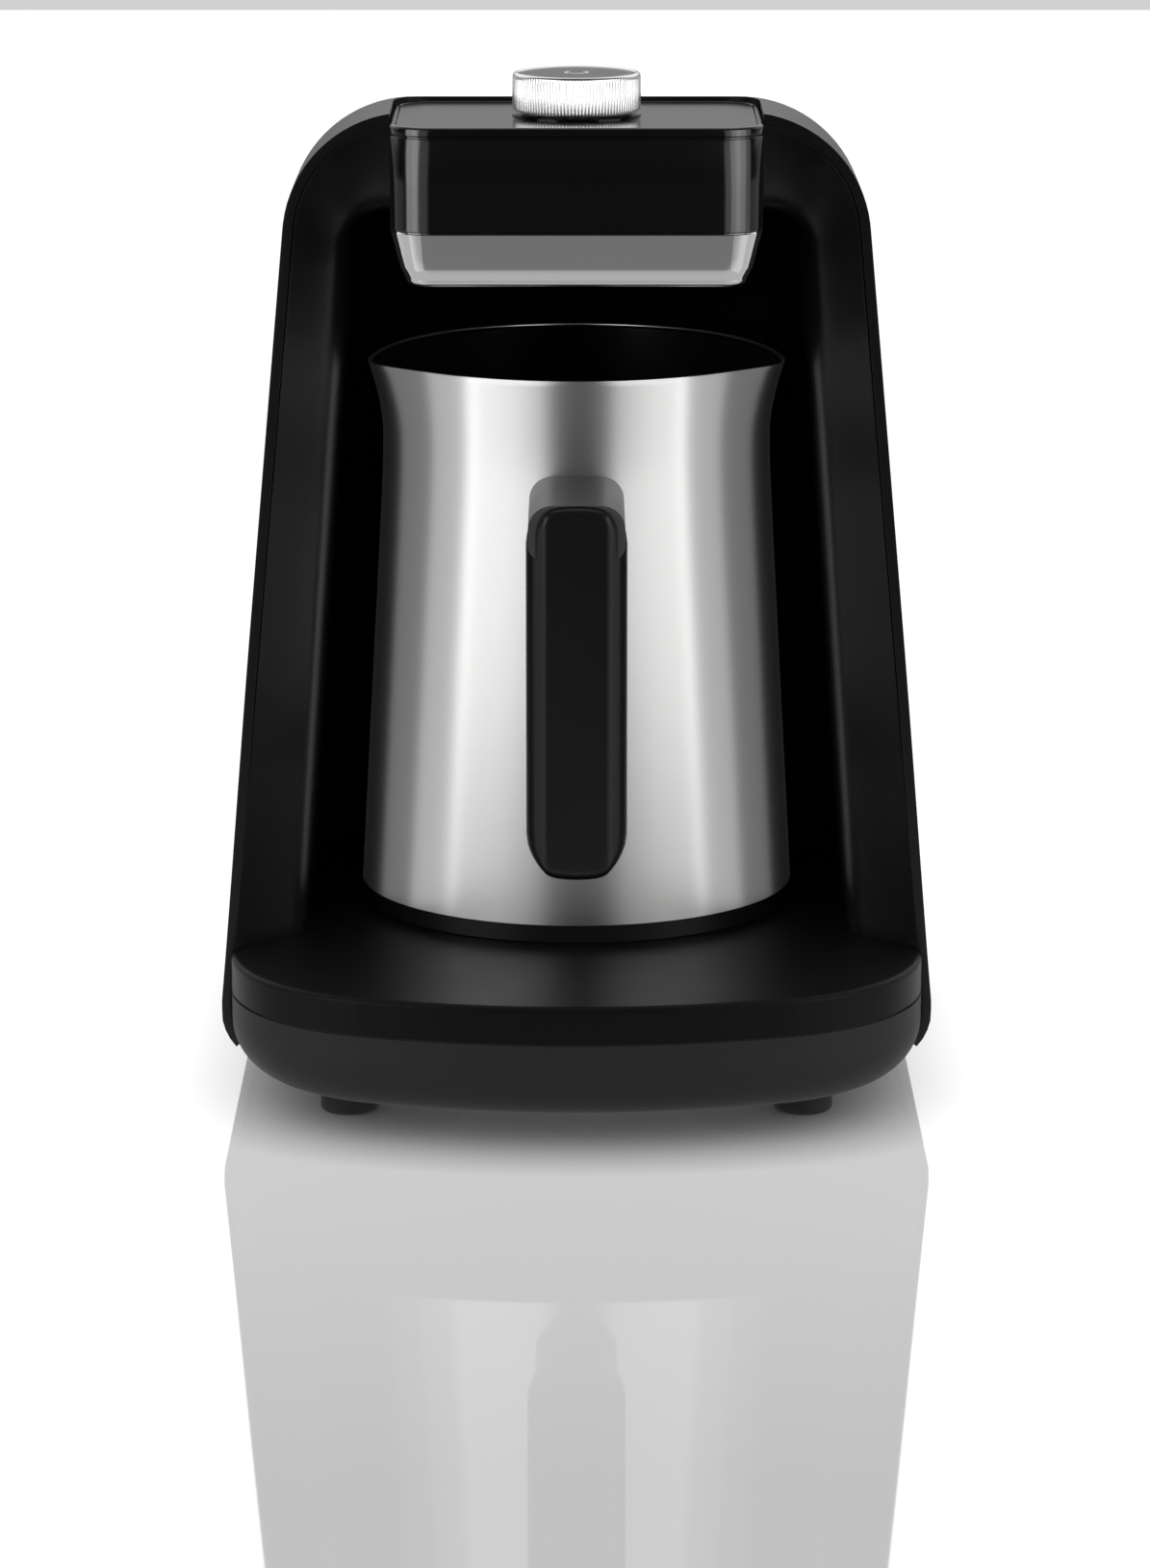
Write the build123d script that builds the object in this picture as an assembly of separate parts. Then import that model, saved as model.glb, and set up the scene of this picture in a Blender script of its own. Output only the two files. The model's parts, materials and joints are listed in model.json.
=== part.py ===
from build123d import *

import os
from math import asin, atan, cos, degrees, exp, pi, sin, sqrt

# Electric turkish coffee maker: a casing with an open bay, a head that overhangs the bay and carries
# the knob, and a jug-shaped pot with its own heater that is pulled out of the bay to the front.
# Millimetres. Origin: middle of the outer box, on the surface that the feet stand on.
# -Y is the front, +X the right-hand side as seen from the front, +Z up.

# ---------------------------------------------------------------- driving sizes
# Pot
pot_y = 15.0  # axis of the pot
pot_foot_radius = 57.4
pot_wall_lean = 0.0565  # how far the wall comes in per millimetre of height
pot_height = 145.7  # from the base ring to the rim
pot_sheet = 0.8
pot_lift = 0.3  # running clearance over the platform
neck_height = 119.0  # where the wall stops leaning in, above the base ring
rim_radius = 51.3
spout_reach = 4.2
spout_angle = 26.0  # half-angle of each spout, degrees
spout_dip = 2.0
base_ring_height = 4.5
floor_height = 15.2  # inside floor, above the base ring

# Handle
handle_width = 25.4
handle_height = 95.3
handle_base = 25.7  # grip's lower end above the base ring
grip_depth = 16.0
finger_room = 28.3  # from the pot's wall to the grip, at the upper bracket
inlay_width = 15.2
bracket_width = 24.2

# Bay
bay_side_gap = 13.7  # pot's foot to the bay wall
bay_lean = 0.0712
bay_rear_gap = 3.6
bay_corner = 10.0
bay_ceiling_arc = 70.0
bay_plan_corner = 36.0
head_gap = 28.2  # rim to the underside of the head
throat_depth = 14.0  # depth of the splayed front

# Casing
foot_height = 8.0
tub_height = 21.0
platform_height = 9.5
pillar_width = 17.6
shell_wall = 2.5
side_lean = 0.0919
bottom_round = 16.0
top_round = 32.0
rear_arc = 110.0
rear_corner = 42.0
rear_room = 24.5  # behind the bay wall
rim_to_fascia = 2.0
pillar_to_pot = 63.0  # casing's front rim ahead of the pot's axis
crown = 1.5  # casing's top over the head's
blend = 0.5  # how far the outlines that shape the casing stand outside each other
gap = 0.3  # assembly gap between mouldings

# Base
base_reach = 57.0  # base ahead of the casing's front rim
base_corner = 50.0
base_bow = 170.0
tub_round = 14.0
platform_round = 1.5
seam_half = 0.35  # half the height of the shadow line between tub and platform
seam_depth = 0.6
foot_radius = 7.6

# Head
head_width = 92.6
head_depth = 63.0
head_reach = 22.0  # head ahead of the casing's front rim
head_corner = 10.5
head_wall = 2.0
body_height = 23.6
bezel_height = 2.4
bezel_width = 1.6
band_height = 13.8
band_taper = 4.2
band_sheet = 1.5

# Knob
knob_radius = 16.1
knob_height = 9.6
knob_gap = 1.0
press_travel = 0.4
shaft_radius = 3.0
running_clearance = 0.05
cap_recess = 1.3

# Screws and electrics
screw_radius = 1.5
screw_head_radius = 2.9
screw_head_height = 2.0
board_thickness = 1.6
board_width = 96.0
board_depth = 74.0
control_width = 76.0
control_depth = 46.0
inlet_radius = 3.6
inlet_x = -45.0
pin_radius = 1.6
pin_pitch = 9.0
pin_clearance = 0.35

# ---------------------------------------------------------------- levels and places that follow
base_z = foot_height
seam_z = base_z + tub_height
platform_z = seam_z + platform_height
pot_z = platform_z + pot_lift
rim_z = pot_z + pot_height
band_z = rim_z + head_gap
body_z = band_z + band_height
bezel_z = body_z + body_height
head_top = bezel_z + bezel_height
shell_top = head_top + crown
bay_top = body_z + 0.5
knob_z = head_top + knob_gap

bay_half = pot_foot_radius + bay_side_gap
half_width = bay_half + pillar_width + shell_wall + gap
bay_rear = pot_y + pot_foot_radius + bay_rear_gap
rear_y = bay_rear + shell_wall + rear_room
rim_y = pot_y - pillar_to_pot
fascia_y = rim_y + rim_to_fascia
throat_y = fascia_y + throat_depth
base_front = rim_y - base_reach
base_half = half_width - shell_wall - gap
joint_y = rim_y - gap
head_front = rim_y - head_reach
head_rear = head_front + head_depth
head_y = (head_front + head_rear) / 2
lean = atan(side_lean)
far = 400.0  # longer than anything here, for cutting blocks

os.makedirs("parts", exist_ok=True)


# ---------------------------------------------------------------- small helpers
def block(x0, x1, y0, y1, z0, z1):
    """A block between two opposite corners."""
    centre = Pos((x0 + x1) / 2, (y0 + y1) / 2, (z0 + z1) / 2)
    return centre * Box(x1 - x0, y1 - y0, z1 - z0)


def rod(radius, start, end):
    """A round bar from one point to another."""
    run = Vector(*end) - Vector(*start)
    return extrude(Plane(origin=start, z_dir=run) * Circle(radius), run.length)


def tube(outer, inner, start, end):
    """A round bar with a bore."""
    return rod(outer, start, end) - rod(inner, start, end)


def along_y(face, y0, y1):
    """A front-view outline carried from y0 to y1."""
    return Pos(0, y1, 0) * extrude(Plane.XZ * face, y1 - y0)


def along_x(face, x0, x1):
    """A side-view outline carried from x0 to x1."""
    return Pos(x0, 0, 0) * extrude(Plane.YZ * face, x1 - x0)


def slab(face, z0, z1):
    """A plan outline from z0 up to z1."""
    return Pos(0, 0, z0) * extrude(face, z1 - z0)


def at_y(face, y):
    """A front-view outline standing at y."""
    return Pos(0, y, 0) * (Plane.XZ * face)


def rounded(points, radii):
    """A face with these corners, each with its own radius."""
    return make_face(FilletPolyline(*points, radius=radii, close=True))


def mirrored(x, y):
    """The four places (+-x, y) for each y."""
    return [(side * x, place) for place in y for side in (-1, 1)]


def screw(x, y, seat_z, length, up=True):
    """A pan-head screw along Z, its head's bearing face at seat_z."""
    way = 1 if up else -1
    head = rod(screw_head_radius, (x, y, seat_z - way * screw_head_height), (x, y, seat_z))
    return head + rod(screw_radius, (x, y, seat_z), (x, y, seat_z + way * length))


def screw_y(x, z, seat_y, length, way):
    """A pan-head screw along Y, pointing towards way * Y."""
    head = rod(screw_head_radius, (x, seat_y - way * screw_head_height, z), (x, seat_y, z))
    return head + rod(screw_radius, (x, seat_y, z), (x, seat_y + way * length, z))


def save(name, *shapes):
    """Write one sub-part, which may be a group of separate solids."""
    solids = [solid for shape in shapes for solid in shape.solids()]
    export_step(solids[0] if len(solids) == 1 else Compound(children=solids), f"parts/{name}.step")


# ---------------------------------------------------------------- casing outlines
def leaning_edge(reach, z, inset):
    """How far out the leaning side (or rear) lies at height z: a line that leans in by side_lean
    and touches the bottom round, whose outermost point is at reach."""
    line = (reach - bottom_round) * cos(lean) + (base_z + bottom_round) * sin(lean) + bottom_round
    return (line - inset - z * sin(lean)) / cos(lean)


def casing_front(inset, low):
    """Front view, standing on low: leaning sides and big top corners."""
    high = shell_top - inset
    wide, narrow = (leaning_edge(half_width, z, inset) + blend for z in (low, high))
    points = [(-wide, low), (wide, low), (narrow, high), (-narrow, high)]
    return rounded(points, [0, 0, top_round - inset, top_round - inset])


def casing_side(inset):
    """Side view: level top, and one long arc down to the leaning rear."""
    low, high = base_z + inset - 2 * blend, shell_top - inset + blend
    foot, top = (leaning_edge(rear_y, z, inset) + 2 * blend for z in (low, high))
    points = [(-far / 2, low), (foot, low), (top, high), (-far / 2, high)]
    return rounded(points, [0, 0, rear_arc - inset, 0])


def rear_rounded(side, rear, inset):
    """A plan outline open to the front, with the casing's rounded rear corners."""
    points = [(-side, -far / 2), (side, -far / 2), (side, rear), (-side, rear)]
    return rounded(points, [0, 0, rear_corner - inset, rear_corner - inset])


def casing(inset, front):
    """The casing's outside, brought in by inset and cut off at front. Its sides and rear lean in;
    an upright block with a rounded lower edge gives it the bottom."""
    body = along_y(casing_front(inset, base_z + inset - blend), front, far / 2)
    body = body & along_x(casing_side(inset), -far, far)
    side, rear = (leaning_edge(reach, 0, inset) for reach in (half_width, rear_y))
    body = body & extrude(rear_rounded(side + 2 * blend, rear + blend, inset), far, taper=degrees(lean))
    upright = slab(rear_rounded(half_width - inset, rear_y - inset, inset), base_z + inset, far)
    lower_edges = upright.faces().sort_by(Axis.Z)[0].edges().sort_by(Axis.Y)[1:]
    return body & fillet(lower_edges, bottom_round - inset)


def rear_wall(z):
    """Where the casing's outer rear surface lies at height z."""
    high = shell_top + blend
    centre_z = high - rear_arc
    corner = leaning_edge(rear_y, high, 0) + 2 * blend
    centre_y = corner - rear_arc * (1 - sin(lean)) / cos(lean)
    above = z - centre_z
    arc = centre_y + sqrt(rear_arc**2 - above**2) if above > 0 else far
    return min(arc, leaning_edge(rear_y, z, 0) + blend, rear_y)


# ---------------------------------------------------------------- bay outlines
def bay_edge(z):
    """Half width of the bay at height z."""
    return bay_half - bay_lean * (z - platform_z)


def bay_front(grow, low):
    """Front view of the bay, standing on low."""
    high = bay_top + grow
    points = [
        (-bay_edge(low) - grow, low),
        (bay_edge(low) + grow, low),
        (bay_edge(high) + grow, high),
        (-bay_edge(high) - grow, high),
    ]
    return rounded(points, [0, 0, bay_corner + grow, bay_corner + grow])


def bay_side(grow, low):
    """Side view of the bay: its ceiling runs down into the rear wall in one arc."""
    rear, high = bay_rear + grow, bay_top + grow
    points = [(-far / 2, low), (rear, low), (rear, high), (-far / 2, high)]
    return rounded(points, [0, 0, bay_ceiling_arc + grow, 0])


def bay(grow, low, front):
    """The bay's hollow, from front back to the rear wall."""
    side, rear = bay_edge(0) + grow + blend, bay_rear + grow + blend
    points = [(-side, -far / 2), (side, -far / 2), (side, rear), (-side, rear)]
    plan = rounded(points, [0, 0, bay_plan_corner + grow, bay_plan_corner + grow])
    hollow = along_y(bay_front(grow, low), front, far / 2)
    return hollow & along_x(bay_side(grow, low), -far, far) & extrude(plan, far)


# ---------------------------------------------------------------- base outline
def base_plan(inset):
    """Plan of the base: bowed front, round front corners, straight sides."""
    bow_y = base_front + base_bow
    corner_x = base_half - base_corner
    corner_y = bow_y - sqrt((base_bow - base_corner) ** 2 - corner_x**2)
    out_x = corner_x / (base_bow - base_corner)
    out_y = (corner_y - bow_y) / (base_bow - base_corner)
    side, rear = base_half - inset, rear_y - shell_wall - gap - inset
    bow, corner = base_bow - inset, base_corner - inset
    meet = (bow * out_x, bow_y + bow * out_y)
    turn = -atan(-out_y / out_x) / 2
    bow_turn = asin(out_x) / 2
    bow_middle = (bow * sin(bow_turn), bow_y - bow * cos(bow_turn))
    middle = (corner_x + corner * cos(turn), corner_y + corner * sin(turn))
    back = rear_corner - shell_wall - gap - inset
    knee = back * (1 - sin(pi / 4))
    right = [
        ThreePointArc((0, base_front + inset), bow_middle, meet),
        ThreePointArc(meet, middle, (side, corner_y)),
        Line((side, corner_y), (side, rear - back)),
        ThreePointArc((side, rear - back), (side - knee, rear - knee), (side - back, rear)),
        Line((side - back, rear), (0, rear)),
    ]
    left = [mirror(edge, about=Plane.YZ) for edge in right]
    return make_face(right + left)


def head_plan(inset):
    """Plan of the head."""
    width, depth = head_width - 2 * inset, head_depth - 2 * inset
    return Pos(0, head_y) * RectangleRounded(width, depth, head_corner - inset)


in_front = block(-far, far, -far, joint_y, -far, far)
inside = shell_wall + gap
under_floor = base_z + shell_wall

# ---------------------------------------------------------------- base
base_screws_at = mirrored(base_half - 22.7, (rim_y + 23, pot_y + 40))
foot_at = mirrored(base_half - 30.7, (base_front + 44, rear_y - 33))
post_z = base_z + 10.0
post_radius = 4.2
board_y = pot_y + 35.0
board_z = base_z + 8.0
board_top = board_z + board_thickness
board_rows = (board_y - board_depth / 2 + 4, board_y + board_depth / 2 - 4)
board_holes = mirrored(board_width / 2 - 4, board_rows)
slot_y = bay_rear + shell_wall + 0.2
skirt_z = base_z + 4.7  # the casing ends here, and the tub's own band shows below it
seam_line = slab(base_plan(-1), seam_z - seam_half, seam_z + seam_half)
seam_line = (seam_line - slab(base_plan(seam_depth), seam_z - 1, seam_z + 1)) & in_front

tub = slab(base_plan(0), base_z, seam_z)
tub = fillet(tub.faces().sort_by(Axis.Z)[0].edges(), tub_round)
tub = (tub & in_front) + (casing(inside, joint_y) & block(-far, far, -far, far, 0, seam_z))
tub += casing(0, joint_y) & block(-far, far, -far, far, 0, skirt_z - gap)
tub_room = slab(base_plan(shell_wall), under_floor, seam_z + 1)
tub_room = fillet(tub_room.faces().sort_by(Axis.Z)[0].edges(), tub_round - shell_wall)
tub_room = tub_room & in_front
tub_room += casing(inside + shell_wall, joint_y - 1) & block(-far, far, -far, far, 0, seam_z + 1)
tub_room += slab(base_plan(tub_round + 2), under_floor, seam_z + 1)
base_lower = tub - tub_room - seam_line
for x, y in base_screws_at:
    base_lower += rod(post_radius + 0.6, (x, y, under_floor - 1), (x, y, post_z))
    base_lower -= rod(screw_head_radius + 0.5, (x, y, base_z - 6), (x, y, base_z + 5))
    base_lower -= rod(screw_radius + 0.3, (x, y, base_z), (x, y, post_z + 1))
for x, y in board_holes:
    base_lower += rod(3.2, (x, y, under_floor - 1), (x, y, board_z))
    base_lower -= rod(screw_radius + running_clearance, (x, y, under_floor), (x, y, board_z + 1))
foot_peg = 2.6
for x, y in foot_at:
    base_lower -= rod(foot_peg, (x, y, base_z - 1), (x, y, base_z + shell_wall + 3))
save("base_lower", base_lower)

feet = []
for x, y in foot_at:
    pad = rod(foot_radius, (x, y, 0), (x, y, base_z))
    pad = fillet(pad.faces().sort_by(Axis.Z)[0].edges(), 1.2)
    feet.append(pad + rod(foot_peg - 0.1, (x, y, base_z), (x, y, base_z + shell_wall)))
save("rubber_feet", *feet)

deck = slab(base_plan(0), seam_z, platform_z)
deck = fillet(deck.faces().sort_by(Axis.Z)[-1].edges(), platform_round)
level = block(-far, far, -far, far, seam_z, platform_z)
deck = (deck & in_front) + (casing(inside, joint_y) & level)
deck_room = slab(base_plan(shell_wall), seam_z - 1, platform_z - shell_wall) & in_front
under_deck = block(-far, far, -far, far, seam_z - 1, platform_z - shell_wall)
deck_room += casing(inside + shell_wall, joint_y - 1) & under_deck
base_upper = deck - deck_room - seam_line
for x, y in base_screws_at:
    base_upper += rod(post_radius, (x, y, post_z), (x, y, platform_z - 1))
    base_upper -= rod(screw_radius + running_clearance, (x, y, post_z - 1), (x, y, post_z + 10))
frame_screws_at = mirrored(bay_half + 6.4, (pot_y - 25, pot_y + 30))
for x, y in frame_screws_at:
    base_upper -= rod(screw_radius + 0.3, (x, y, seam_z), (x, y, platform_z + 1))
base_upper -= block(-board_width / 2, board_width / 2, slot_y, slot_y + 9, seam_z, platform_z + 1)
save("base_upper", base_upper)

save("base_screws", *[screw(x, y, base_z + 5, 13) for x, y in base_screws_at])

# ---------------------------------------------------------------- outer shell
head_cut = Pos(0, 0, body_z - 1) * extrude(head_plan(-gap), far)
rear_screws_at = mirrored(50.0, (base_z + 92,)) + mirrored(24.0, (base_z + 157,))
inlet_z = platform_z + 15.0
inlet_y = rear_y + 0.2
flange_depth = 1.8
body_radius = 5.5
pad_inner = rear_y - 7.0

outer_shell = casing(0, rim_y) - casing(shell_wall, rim_y - 1)
outer_shell -= block(-far, far, -far, far, 0, skirt_z)
outer_shell -= head_cut
whole = casing(0, rim_y)
for x, z in rear_screws_at:
    seat = rear_wall(z) - 4.0
    outer_shell += rod(6.0, (x, seat - 2, z), (x, seat + 10, z)) & whole
    outer_shell -= rod(screw_head_radius + 0.5, (x, seat, z), (x, seat + 20, z))
    outer_shell -= rod(screw_radius + 0.3, (x, seat - 3, z), (x, seat + 1, z))
outer_shell += rod(10.5, (inlet_x, pad_inner, inlet_z), (inlet_x, inlet_y, inlet_z))
outer_shell -= rod(body_radius + 0.1, (inlet_x, pad_inner - 1, inlet_z), (inlet_x, inlet_y + 1, inlet_z))
save("outer_shell", outer_shell)

flange = rod(8.2, (inlet_x, inlet_y, inlet_z), (inlet_x, inlet_y + flange_depth, inlet_z))
flange = chamfer(flange.faces().sort_by(Axis.Y)[-1].edges(), 0.8)
stem_inner = pad_inner - 4.0
gland = flange + rod(body_radius, (inlet_x, stem_inner, inlet_z), (inlet_x, inlet_y, inlet_z))
gland -= rod(inlet_radius, (inlet_x, stem_inner - 1, inlet_z), (inlet_x, rear_y + 5, inlet_z))
save("cord_gland", gland)
hexagon = Pos(inlet_x, 0) * make_face(Polyline(*[
    (8.0 * cos(pi * k / 3), inlet_z + 8.0 * sin(pi * k / 3)) for k in range(7)
]))
nut = along_y(hexagon, stem_inner, pad_inner)
nut_radius = body_radius + running_clearance
nut -= rod(nut_radius, (inlet_x, stem_inner - 1, inlet_z), (inlet_x, pad_inner + 1, inlet_z))
save("gland_nut", nut)

# ---------------------------------------------------------------- front frame with the bay
skin = 3.0
frame_outline, cut_outline = casing_front(inside, platform_z), casing_front(inside, platform_z - 1)
mouth, mouth_cut = bay_front(0, platform_z), bay_front(0, platform_z - 1)
splay = along_y(frame_outline, fascia_y, fascia_y + skin)
splay += loft([at_y(frame_outline, fascia_y + skin), at_y(mouth, throat_y + skin)], ruled=True)
splay -= loft([at_y(cut_outline, fascia_y), at_y(mouth_cut, throat_y)], ruled=True)
splay -= along_y(mouth_cut, throat_y - 1, throat_y + skin + 1)
bay_hollow = bay(0, platform_z - 1, throat_y - 1)
tunnel = bay(shell_wall, platform_z, throat_y) - bay_hollow
front_frame = splay + tunnel
bay_room = bay(shell_wall / 2, platform_z - 1, throat_y)  # kept clear of the bosses
for x, y in frame_screws_at:
    front_frame += rod(4.2, (x, y, platform_z), (x, y, platform_z + 16)) - bay_room
    front_frame -= rod(screw_radius + running_clearance, (x, y, platform_z - 1), (x, y, platform_z + 12))
for x, z in rear_screws_at:
    seat = rear_wall(z) - 6.0
    front_frame += rod(4.6, (x, bay_rear - 20, z), (x, seat, z)) - bay_room
    front_frame -= rod(screw_radius + running_clearance, (x, seat - 7, z), (x, seat + 1, z))
front_frame -= head_cut
dock_z = platform_z + 8.2
dock_pins = [(k * pin_pitch, dock_z) for k in (-1, 0, 1)]
for x, z in dock_pins:
    front_frame -= rod(pin_radius + 0.1, (x, bay_rear - 1, z), (x, bay_rear + shell_wall + 1, z))
bracket_screw_x = 18.0
ceiling = bay_top + shell_wall
bracket_screws = [(side * bracket_screw_x, head_rear + 14) for side in (-1, 1)]
sensor_screws = [(side * 22.0, head_rear + 30) for side in (-1, 1)]
for x, y in bracket_screws:
    front_frame -= rod(screw_radius + running_clearance, (x, y, bay_top - 1), (x, y, ceiling + 1))
for x, y in sensor_screws:
    front_frame += rod(3.6, (x, y, bay_top - 8), (x, y, ceiling + 4)) - bay_room
    front_frame -= rod(screw_radius + running_clearance, (x, y, bay_top - 8), (x, y, ceiling + 3))
save("front_frame", front_frame)

save("frame_screws", *[screw(x, y, platform_z - shell_wall, 13) for x, y in frame_screws_at])
save("shell_screws", *[screw_y(x, z, rear_wall(z) - 4.0, 8.5, -1) for x, z in rear_screws_at])

# ---------------------------------------------------------------- dock for the pot
dock_top = platform_z + 15.0
dock_face = pot_y + pot_foot_radius + 0.8
dock_block = block(-16, 16, dock_face, bay_rear, platform_z, dock_top)
dock_block = fillet(dock_block.edges().filter_by(Axis.Y).group_by(Axis.Z)[-1], 3.0)
pin_tip = pot_y + pot_foot_radius - 12.0
tab_y = bay_rear + shell_wall + 6.0
for x, z in dock_pins:
    dock_block -= rod(pin_radius, (x, dock_face - 1, z), (x, bay_rear + 1, z))
save("dock_block", dock_block)
pins = []
for x, z in dock_pins:
    pin = rod(pin_radius, (x, pin_tip, z), (x, tab_y, z))
    pins.append(chamfer(pin.faces().sort_by(Axis.Y)[0].edges(), 0.5))
save("contact_pins", *pins)
lead_y = tab_y - 1.6
save("dock_leads", *[rod(1.1, (x, lead_y, board_top), (x, lead_y, z - pin_radius)) for x, z in dock_pins])

# ---------------------------------------------------------------- power electronics in the base
power_board = block(-board_width / 2, board_width / 2, board_y - board_depth / 2,
                    board_y + board_depth / 2, board_z, board_top)
for x, y in board_holes:
    power_board -= rod(screw_radius + 0.1, (x, y, board_z - 1), (x, y, board_top + 1))
save("power_board", power_board)
save("board_screws", *[screw(x, y, board_top, 5.5, up=False) for x, y in board_holes])


def on_board(x, y, width, depth, height, round_edges):
    """A component standing on the power board, placed from the board's middle."""
    part = block(x - width / 2, x + width / 2, board_y + y - depth / 2, board_y + y + depth / 2,
                 board_top, board_top + height)
    return fillet(part.edges().filter_by(Axis.Z), round_edges)


core = on_board(-24, -8, 30, 25, 15, 0.8)
bobbin = on_board(-24, -8, 20, 34, 11.5, 3.0)
save("transformer", core + bobbin)
save("relay", on_board(10, 16, 20, 16, 14.5, 0.6))
save("filter_capacitor", on_board(33, 6, 18, 9, 13, 1.5))
fuse_y = board_y - 14
fuse_z = board_top + 4.2
fuse = rod(2.6, (5, fuse_y, fuse_z), (25, fuse_y, fuse_z))
for x in (6.5, 23.5):
    fuse += block(x - 1.5, x + 1.5, fuse_y - 3.4, fuse_y + 3.4, board_top, fuse_z)
save("fuse", fuse)
terminal_block = on_board(-33, 24, 24, 11, 10.5, 0.6)
for k in (-1, 0, 1):
    wire_x, wire_y = -33 + 7.2 * k, board_y + 24
    terminal_block -= rod(1.9, (wire_x, wire_y, board_top + 8.5), (wire_x, wire_y, board_top + 12))
save("terminal_block", terminal_block)

# ---------------------------------------------------------------- head
body = Pos(0, 0, body_z) * extrude(head_plan(0), body_height)
body -= Pos(0, 0, body_z + head_wall) * extrude(head_plan(head_wall), body_height)
control_z = body_z + 11.0
control_top = control_z + board_thickness
control_y = head_y + 1.0
control_half = control_depth / 2
hole_rows = (control_y - control_half + 5, control_y + control_half - 5)
control_holes = mirrored(control_width / 2 - 5, hole_rows)
for x, y in control_holes:
    body += rod(3.0, (x, y, body_z + 1), (x, y, control_z))
    body -= rod(screw_radius + running_clearance, (x, y, body_z + head_wall + 1), (x, y, control_z + 1))
lug_z = body_z + 15.0
for x, y in bracket_screws:
    body += rod(3.6, (x, head_rear - 6, lug_z), (x, head_rear - 1, lug_z))
    body -= rod(screw_radius + running_clearance, (x, head_rear - 5, lug_z), (x, head_rear + 1, lug_z))
ribbon_x = (29.0, 41.0)
ribbon_low, ribbon_thick = ceiling + gap, 0.6
ribbon_slot = block(ribbon_x[0] - 1, ribbon_x[1] + 1, head_rear - 4, head_rear + 1,
                    ribbon_low - 1, ribbon_low + 2)
body -= ribbon_slot
skirt_screws = [(side * 24.0, head_y - 6) for side in (-1, 1)]
for x, y in skirt_screws:
    body -= rod(screw_radius + 0.3, (x, y, body_z - 1), (x, y, body_z + head_wall + 1))
line_low, line_depth = bezel_z - 0.4, 0.5
line = Pos(0, 0, line_low) * extrude(head_plan(-1), far)
body -= line - Pos(0, 0, line_low - 1) * extrude(head_plan(line_depth), far)
save("head_body", body)

bezel = Pos(0, 0, bezel_z) * extrude(head_plan(0), bezel_height)
bezel = fillet(bezel.faces().sort_by(Axis.Z)[-1].edges(), 0.5)
bezel -= Pos(0, 0, bezel_z - 1) * extrude(head_plan(bezel_width), far)
ledge = Pos(0, 0, bezel_z) * extrude(head_plan(bezel_width), 0.8)
ledge -= Pos(0, 0, bezel_z - 1) * extrude(head_plan(bezel_width + 2.0), far)
save("top_bezel", bezel + ledge)

panel_plan = head_plan(bezel_width + 0.15)
panel_low = bezel_z + 0.8
panel_top = head_top - 0.1
panel = Pos(0, 0, panel_low) * extrude(panel_plan, panel_top - panel_low)
panel -= rod(shaft_radius + 1.2, (0, head_y, bezel_z), (0, head_y, head_top + 1))
save("control_panel", panel)

trim = tube(knob_radius + 0.1, knob_radius - 3.5, (0, head_y, panel_top), (0, head_y, panel_top + 0.35))
save("knob_trim_ring", trim)

band_top = Pos(0, 0, body_z) * head_plan(0)
band_low = Pos(0, 0, band_z) * head_plan(band_taper)
band = loft([band_low, band_top], ruled=True)
inner_low = Pos(0, 0, band_z) * head_plan(band_taper + band_sheet)
inner_top = Pos(0, 0, body_z) * head_plan(band_sheet)
band_back = head_rear - 5.0
band -= loft([inner_low, inner_top], ruled=True)
band = band & block(-far, far, -far, band_back, 0, far)
save("chrome_band", band)

plate_low, plate_thick = band_z + 0.6, 2.0
plate = Pos(0, 0, plate_low) * extrude(head_plan(band_taper + band_sheet + 0.2), plate_thick)
plate = plate & block(-far, far, -far, band_back, 0, far)
for x, y in skirt_screws:
    plate += rod(3.8, (x, y, plate_low), (x, y, body_z))
    plate -= rod(screw_head_radius + 0.4, (x, y, plate_low - 1), (x, y, plate_low + 3.0))
    plate -= rod(screw_radius + 0.3, (x, y, plate_low), (x, y, body_z + 1))
save("head_underside", plate)

box_front, box_rear = band_back + gap, pot_y + 17
box_half = 38.0
housing_low = plate_low
sensor_housing = block(-box_half, box_half, box_front, box_rear, housing_low, bay_top)
sensor_housing = fillet(sensor_housing.edges().filter_by(Axis.Z).group_by(Axis.Y)[-1], 8.0)
room_half, room_low = box_half - 2.0, housing_low + 2.0
sensor_housing -= block(-room_half, room_half, box_front + 2, box_rear - 2, room_low, bay_top + 1)
for x, y in sensor_screws:
    sensor_housing += rod(3.6, (x, y, housing_low + 1), (x, y, bay_top))
    sensor_housing -= rod(screw_head_radius + 0.4, (x, y, housing_low - 1), (x, y, bay_top - 5))
    sensor_housing -= rod(screw_radius + 0.3, (x, y, housing_low), (x, y, bay_top + 1))
sensor_housing -= block(-far, far, -far, head_rear + gap, body_z, far)
sensor_housing = sensor_housing & bay_hollow
sensor_y = pot_y - 5.0
window_radius = 6.0
sensor_housing -= rod(window_radius + 0.1, (0, sensor_y, housing_low - 1), (0, sensor_y, housing_low + 3))
eye_posts = mirrored(9.0, (sensor_y - 7, sensor_y + 7))
eye_z = housing_low + 8.0
for x, y in eye_posts:
    sensor_housing += rod(1.8, (x, y, housing_low + 1), (x, y, eye_z))
save("sensor_housing", sensor_housing)
window = rod(window_radius, (0, sensor_y, housing_low), (0, sensor_y, housing_low + 2))
window += rod(window_radius + 1.3, (0, sensor_y, housing_low + 2), (0, sensor_y, housing_low + 3))
save("sensor_window", window)
save("sensor_board", block(-12, 12, sensor_y - 10, sensor_y + 10, eye_z, eye_z + 1.2))
eye = rod(4.6, (0, sensor_y, housing_low + 3.2), (0, sensor_y, eye_z - 0.6))
eye += rod(5.2, (0, sensor_y, eye_z - 0.6), (0, sensor_y, eye_z))
save("boil_sensor", eye)

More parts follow.
